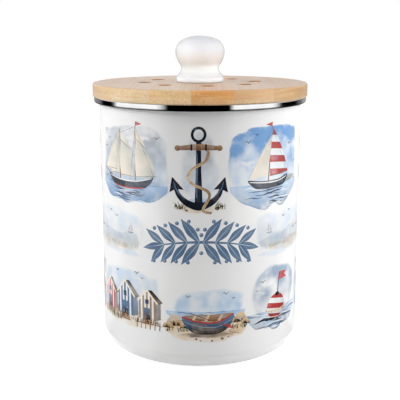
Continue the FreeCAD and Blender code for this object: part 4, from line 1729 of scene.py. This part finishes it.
@dataclass
class Lid:
    """The bamboo lid with its knob, fixing and seal.

    Attributes:
        tones: each stave's pale, deep, fibre and toned colour, and its toned share, from the left; the
            toned colour is a painted shade.
        seams: how much of the glue shows at each stave's edges.
        edges: how much darker each stave is on the board's edge.
        oiled: the staves' roughness where they are smoothest and roughest.
        shift: how far each stave's pattern is moved on from that of the one before.
        glaze: the finish of the knob, with its bands of painted shade.
        brass: the finish of its insert.
        zinc: the finish of the screw and the washer.
        silicone: the finish of the seal.
    """

    tones: Sequence[tuple[Colour, Colour, Colour, Colour, float]] = (
        (srgb(225, 198, 160), srgb(217, 185, 143), srgb(196, 152, 98), srgb(222, 182, 128), 0.4),
        (srgb(225, 198, 160), srgb(217, 185, 143), srgb(196, 152, 98), srgb(222, 182, 128), 0.4),
        (srgb(226, 199, 161), srgb(218, 186, 143), srgb(196, 150, 96), srgb(222, 180, 124), 0.45),
        (srgb(226, 188, 144), srgb(217, 175, 126), srgb(194, 142, 86), srgb(226, 160, 88), 0.9),
        (srgb(219, 188, 147), srgb(210, 175, 130), srgb(188, 142, 92), srgb(210, 164, 110), 0.55),
        (srgb(218, 186, 145), srgb(209, 173, 128), srgb(186, 140, 90), srgb(209, 163, 110), 0.55),
    )
    seams: Sequence[float] = (0.06, 0.06, 0.1, 0.45, 0.2, 0.06)
    edges: Sequence[Colour] = (
        (0.86, 0.93, 1.06),
        (0.85, 0.955, 1.06),
        (0.94, 1.0, 1.01),
        (0.885, 0.89, 0.85),
        (0.79, 0.795, 0.81),
        (0.725, 0.735, 0.73),
    )
    oiled: Point = (0.3, 0.46)
    shift: float = 0.37
    glaze: GlassySkin = GlassySkin(
        "white_glaze", (0.74, 0.77, 0.80), 0.05, 0.10, (0.72, 0.75, 0.78), 0.005 * MM, 160.0, depth=0.55,
        # painted shade on the knob: darker colours by height, in place of the shade that falls across it
        painted_shade_bands=(
            (215.0 * MM, 216.2 * MM, (0.53, 0.54, 0.545)),
            (218.5 * MM, 221.0 * MM, (0.66, 0.68, 0.675)),
            (224.0 * MM, 227.5 * MM, (0.56, 0.535, 0.52)),
            (231.0 * MM, 237.0 * MM, (0.55, 0.56, 0.575)),
            (240.0 * MM, 246.0 * MM, (0.475, 0.48, 0.515)),
        ),
    )
    brass: TurnedMetal = TurnedMetal("turned_brass", srgb(214, 176, 104), 0.18, 0.34, 0.002 * MM, 3000.0)
    zinc: TurnedMetal = TurnedMetal("zinc_plate", srgb(186, 190, 192), 0.24, 0.4, 0.002 * MM, 2500.0)
    silicone: MouldedSkin = MouldedSkin("silicone", srgb(226, 228, 226), 0.38, 0.52, 0.004 * MM, 0.2)

    def build(self) -> list[str]:
        """Dresses the lid's nodes and gives their names."""
        names = []
        rows = zip(self.tones, self.seams, self.edges)
        for number, ((pale, *others), seam_share, edge) in enumerate(rows, start=1):
            name = f"lid_stave_{number}"
            low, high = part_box(name)
            stave = BambooStave(
                f"bamboo_{number}", pale, *self.oiled, *others, number * self.shift,
                (low.x, high.x), high.z, seam_share, edge,
            )
            dress(name, stave.material())
            names.append(name)
        zinc = self.zinc.material()
        for name, material in (
            ("knob", self.glaze.material()),
            ("knob_insert", self.brass.material()),
            ("knob_screw", zinc),
            ("knob_washer", zinc),
            ("seal_ring", self.silicone.material()),
        ):
            dress(name, material)
            names.append(name)
        return names


@dataclass
class FilterCassette:
    """The slotted tray and the felt pad in it.

    Attributes:
        rings: how many rings of points the pad's faces have.
        spokes: how many points lie round each ring.
        roughness_depth: how far the felt's surface rises and falls.
        tufts_per_metre: how close its tufts lie.
        dimples_per_metre: how close its broader dimples lie, which are half as deep.
        crown: how much the pad is thicker in its middle.
        plastic: the finish of the tray.
        felt: the finish of the pad.
    """

    rings: int = 34
    spokes: int = 168
    roughness_depth: float = 0.28 * MM
    tufts_per_metre: float = 420.0
    dimples_per_metre: float = 130.0
    crown: float = 0.5 * MM
    plastic: MouldedSkin = MouldedSkin("cover_plastic", srgb(238, 238, 236), 0.34, 0.46, 0.003 * MM)
    felt: CarbonFelt = CarbonFelt("carbon_felt", (0.012, 0.012, 0.013), 0.82, 0.98, (0.06, 0.06, 0.062))

    def build(self) -> list[str]:
        """Dresses the tray, makes the pad and gives their names."""
        dress("filter_cover", self.plastic.material())
        return ["filter_cover", self.pad().name]

    def pad(self) -> Object:
        """The felt pad: a crowned disc with a drawn-in, fuzzy edge."""
        low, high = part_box("filter_pad")
        radius = (high.x - low.x) / 2 - 2 * self.roughness_depth
        middle = (low.z + high.z) / 2
        half = (high.z - low.z) / 2 - self.roughness_depth
        upper = []
        for step in range(1, self.rings + 1):
            share = step / self.rings
            fall = (1 - share**6) ** 0.5
            upper.append((share * radius, (half - self.crown * share**2) * fall))
        lower = [(reach, -lift) for reach, lift in reversed(upper[:-1])]
        mesh = bmesh.new()
        loops = [
            [mesh.verts.new(self.pad_point(reach, lift, middle, k)) for k in range(self.spokes)]
            for reach, lift in upper + lower
        ]
        for above, below in zip(loops, loops[1:]):
            for k in range(self.spokes):
                after = (k + 1) % self.spokes
                mesh.faces.new((above[k], below[k], below[after], above[after]))
        for loop, lift, turned in ((loops[0], half, False), (loops[-1], -half, True)):
            centre = mesh.verts.new((0, 0, middle + lift))
            for k in range(self.spokes):
                corners = (centre, loop[k], loop[(k + 1) % self.spokes])
                mesh.faces.new(corners[::-1] if turned else corners)
        data = bpy.data.meshes.new("felt_pad")
        mesh.to_mesh(data)
        mesh.free()
        data.shade_smooth()
        pad = new_object("felt_pad", data)
        data.materials.append(self.felt.material())
        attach(pad, "filter_cassette")
        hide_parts("filter_pad")
        return pad

    def pad_point(self, reach: float, lift: float, middle: float, k: int) -> Place:
        """One point of the pad's surface, roughened by noise.

        Args:
            reach: its distance from the axis.
            lift: how far it is above the pad's middle.
            middle: the height of the pad's middle.
            k: which spoke it lies on.

        Returns:
            The point.
        """
        turn = 2 * pi * k / self.spokes
        flat = Vector((reach * cos(turn), reach * sin(turn), 0))
        own = Vector((flat.x, flat.y, lift))
        tuft = noise.noise(own * self.tufts_per_metre) * self.roughness_depth
        dimple = noise.noise(own * self.dimples_per_metre) * self.roughness_depth * 0.5
        side = 1 if lift >= 0 else -1
        return flat.x, flat.y, middle + lift + side * (tuft + dimple)


@dataclass(frozen=True)
class Softbox:
    """One soft lamp of the studio.

    Attributes:
        name: the lamp's name.
        place: where it hangs.
        size: its width and height.
        power: its power in watts.
        aim: the point that it faces.
        spread: how widely its light fans out, in degrees, which a grid in front of it narrows.
    """

    name: str
    place: Place
    size: Point
    power: float
    aim: Place = (0.0, 0.0, 0.12)
    spread: float = 180.0

    def hang(self) -> None:
        """Makes the lamp."""
        data = bpy.data.lights.new(self.name, "AREA")
        data.shape = "RECTANGLE"
        data.size, data.size_y = self.size
        data.energy = self.power
        data.spread = radians(self.spread)
        lamp = new_object(self.name, data)
        lamp.location = self.place
        toward = Vector(self.aim) - Vector(self.place)
        lamp.rotation_euler = toward.to_track_quat("-Z", "Y").to_euler()
        lamp.visible_glossy = False


@dataclass(frozen=True)
class MirrorCard:
    """A curved card round the caddy, which only mirrors see: a sheet that glows by its tone and so
    paints the reflections in the caddy's glossy surfaces.

    Attributes:
        name: the card's name.
        tones: directions, in degrees from +X towards +Y, and how brightly the card glows there, its
            painted reflection.
        bottom: the height of its lower edge; a card that starts on the floor has a foot as well.
        top: the height of its upper edge, or 0 for a foot alone.
        reach: its distance from the caddy's axis.
        inner: the distance of its foot's inner edge.
        foot_lift: the foot's height above the floor.
        columns: how many columns of points it is bent from.
    """

    name: str
    tones: tuple[Point, ...]
    bottom: float = 0.0
    top: float = 0.26
    reach: float = 0.5
    inner: float = 0.09
    foot_lift: float = 1 * MM
    columns: int = 97

    def stand(self) -> None:
        """Makes the card."""
        foot = [(self.inner, self.foot_lift), (self.reach, self.foot_lift)]
        ways = [(self.reach, self.bottom)] if self.bottom else foot
        if self.top:
            ways.append((self.reach, self.top))
        rows = len(ways)
        known, levels = zip(*self.tones)
        places, shades = [], []
        for angle in np.linspace(known[0], known[-1], self.columns):
            turn = radians(angle)
            places.extend((r * cos(turn), r * sin(turn), z) for r, z in ways)
            level = float(np.interp(angle, known, levels))
            shades.extend([level, level, level, 1.0] * rows)
        faces = [
            (k * rows + row, (k + 1) * rows + row, (k + 1) * rows + row + 1, k * rows + row + 1)
            for k in range(self.columns - 1)
            for row in range(rows - 1)
        ]
        data = bpy.data.meshes.new(self.name)
        data.from_pydata(places, [], faces)
        layer = data.color_attributes.new(name="tone", type="FLOAT_COLOR", domain="POINT")
        layer.data.foreach_set("color", shades)
        data.materials.append(self.material())
        card = new_object(self.name, data)
        card.visible_camera = False
        card.visible_diffuse = False
        card.visible_shadow = False

    def material(self) -> Material:
        """A black card that glows by its tone."""
        material, graph, shader = new_material(self.name)
        graph.feed(shader, {
            "Base Color": (0, 0, 0, 1),
            "Specular IOR Level": 0,
            "Emission Color": (1, 1, 1, 1),
            "Emission Strength": graph.node("ShaderNodeAttribute", attribute_name="tone").outputs["Fac"],
        })
        return material


@dataclass
class Studio:
    """Camera, floor, lamps and the glowing cards, dark and pale, that paint the reflections in the
    steel.

    Attributes:
        camera_distance: from the caddy's axis to the camera.
        camera_height: above the floor.
        camera_pitch: downwards, in degrees.
        lens: focal length in millimetres.
        floor_size: the floor's side.
        floor_cells: how many cells it has along each side.
        floor_tone: how much light the floor sends back to the caddy.
        floor_glow: how bright the floor is to the camera where no lamp reaches it.
        room: the even light of the room on the caddy.
        softboxes: the lamps.
        cards: the cards.
    """

    camera_distance: float = 0.6572
    camera_height: float = 0.2575
    camera_pitch: float = 12.205
    lens: float = 73.65
    floor_size: float = 6.0
    floor_cells: int = 8
    floor_tone: float = 0.62
    floor_glow: float = 0.88
    room: float = 0.10
    softboxes: tuple[Softbox, ...] = (
        Softbox("softbox_left", (-0.94, -0.205, 0.75), (0.8, 0.5), 9.7),
        Softbox("softbox_left_low", (-0.94, -0.205, 0.30), (0.8, 0.5), 2.4),
        Softbox("softbox_right", (0.94, -0.205, 0.75), (0.8, 0.5), 6.25),
        Softbox("softbox_right_low", (0.94, -0.205, 0.30), (0.8, 0.5), 5.45),
        Softbox("softbox_top", (0.0, -0.36, 1.25), (0.9, 0.3), 3.4),
        Softbox("softbox_back", (0.0, 1.0, 0.12), (0.8, 0.1), 3.0, (0.0, 0.0, 0.1)),
        Softbox("knob_light", (0.0, -1.2, 0.40), (0.16, 0.02), 0.0168, (0.0, 0.0, 0.227), 2.5),
        Softbox("body_light", (0.0, -1.2, 0.12), (0.16, 0.02), 0.0042, (0.0, 0.0, 0.065), 10.0),
        Softbox("lid_light", (0.0, -1.2, 0.40), (0.16, 0.005), 0.0017, (0.0, -0.085, 0.2085), 1.0),
    )
    cards: tuple[MirrorCard, ...] = (
        MirrorCard("card_front", ((228, 1.0), (233, 0.6), (239, 0.0), (298, 0.0), (303, 1.0)), top=0.7),
        MirrorCard("foot_left", ((176, 0.22), (228, 0.22)), top=0.0),
        MirrorCard("foot_right", ((303, 0.22), (364, 0.22)), top=0.0),
        MirrorCard(
            "card_back",
            (
                (-15, 1.0), (-11, 0.85), (-6, 0.4), (-3, 0.06), (1, 0.0), (24, 0.0), (30, 0.075),
                (37, 0.14), (44, 0.3), (54, 0.4), (115, 0.4), (126, 0.28), (142, 0.19), (147, 0.10),
                (151, 0.04), (154, 0.0), (172, 0.0), (175, 0.2), (178, 0.7), (181, 1.0),
            ),
            bottom=0.147,
        ),
        MirrorCard("card_back_low", ((0, 0.88), (182, 0.88)), top=0.147),
    )

    def build(self) -> None:
        """Builds everything round the caddy."""
        self.place_camera()
        self.set_world()
        self.lay_floor()
        for softbox in self.softboxes:
            softbox.hang()
        for card in self.cards:
            card.stand()
        bpy.context.scene.view_settings.view_transform = "Standard"

    def place_camera(self) -> None:
        """Stands the camera where the photograph's outlines put it."""
        data = bpy.data.cameras.new("camera")
        data.lens = self.lens
        camera = new_object("camera", data)
        camera.location = (0, -self.camera_distance, self.camera_height)
        camera.rotation_euler = (radians(90 - self.camera_pitch), 0, 0)
        bpy.context.scene.camera = camera

    def set_world(self) -> None:
        """A white room to the camera and to mirrors, and an even, dimmer light on the caddy."""
        world = bpy.data.worlds.new("room")
        bpy.context.scene.world = world
        world.use_nodes = True
        graph = Graph(world.node_tree)
        strength = graph.spread(self.mirrored(graph), 0.0, 1.0, self.room, 1.0)
        graph.feed(world.node_tree.nodes["Background"], {"Color": (1, 1, 1, 1), "Strength": strength})

    @staticmethod
    def mirrored(graph: Graph) -> Socket:
        """1 for rays from the camera, a mirror or glass, and 0 for the rest."""
        path = graph.node("ShaderNodeLightPath").outputs
        seen = graph.maths("ADD", path["Is Camera Ray"], path["Is Glossy Ray"], clamp=True)
        seen = graph.maths("ADD", seen, path["Is Transmission Ray"], clamp=True)
        return graph.maths("SUBTRACT", seen, path["Diffuse Depth"], clamp=True)

    def lay_floor(self) -> None:
        """A plain pale floor that is white to the camera but keeps the caddy's shadow."""
        cells = self.floor_cells
        mesh = bmesh.new()
        bmesh.ops.create_grid(mesh, x_segments=cells, y_segments=cells, size=self.floor_size / 2)
        data = bpy.data.meshes.new("floor")
        mesh.to_mesh(data)
        mesh.free()
        floor = new_object("floor", data)
        material, graph, shader = new_material("floor")
        graph.feed(shader, {
            "Base Color": opaque((self.floor_tone,) * 3),
            "Roughness": 0.9,
            "Emission Color": (1, 1, 1, 1),
            "Emission Strength": graph.times(self.mirrored(graph), self.floor_glow),
        })
        data.materials.append(material)


def write_sizes() -> None:
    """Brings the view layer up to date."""
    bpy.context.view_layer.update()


def main() -> None:
    """Builds the studio and dresses each sub-assembly in turn."""
    Studio().build()
    for assembly in (Bucket(), Lid(), FilterCassette()):
        for name in assembly.build():
            log.info("%s: %s", type(assembly).__name__, name)
    write_sizes()


if __name__ == "__main__":
    main()
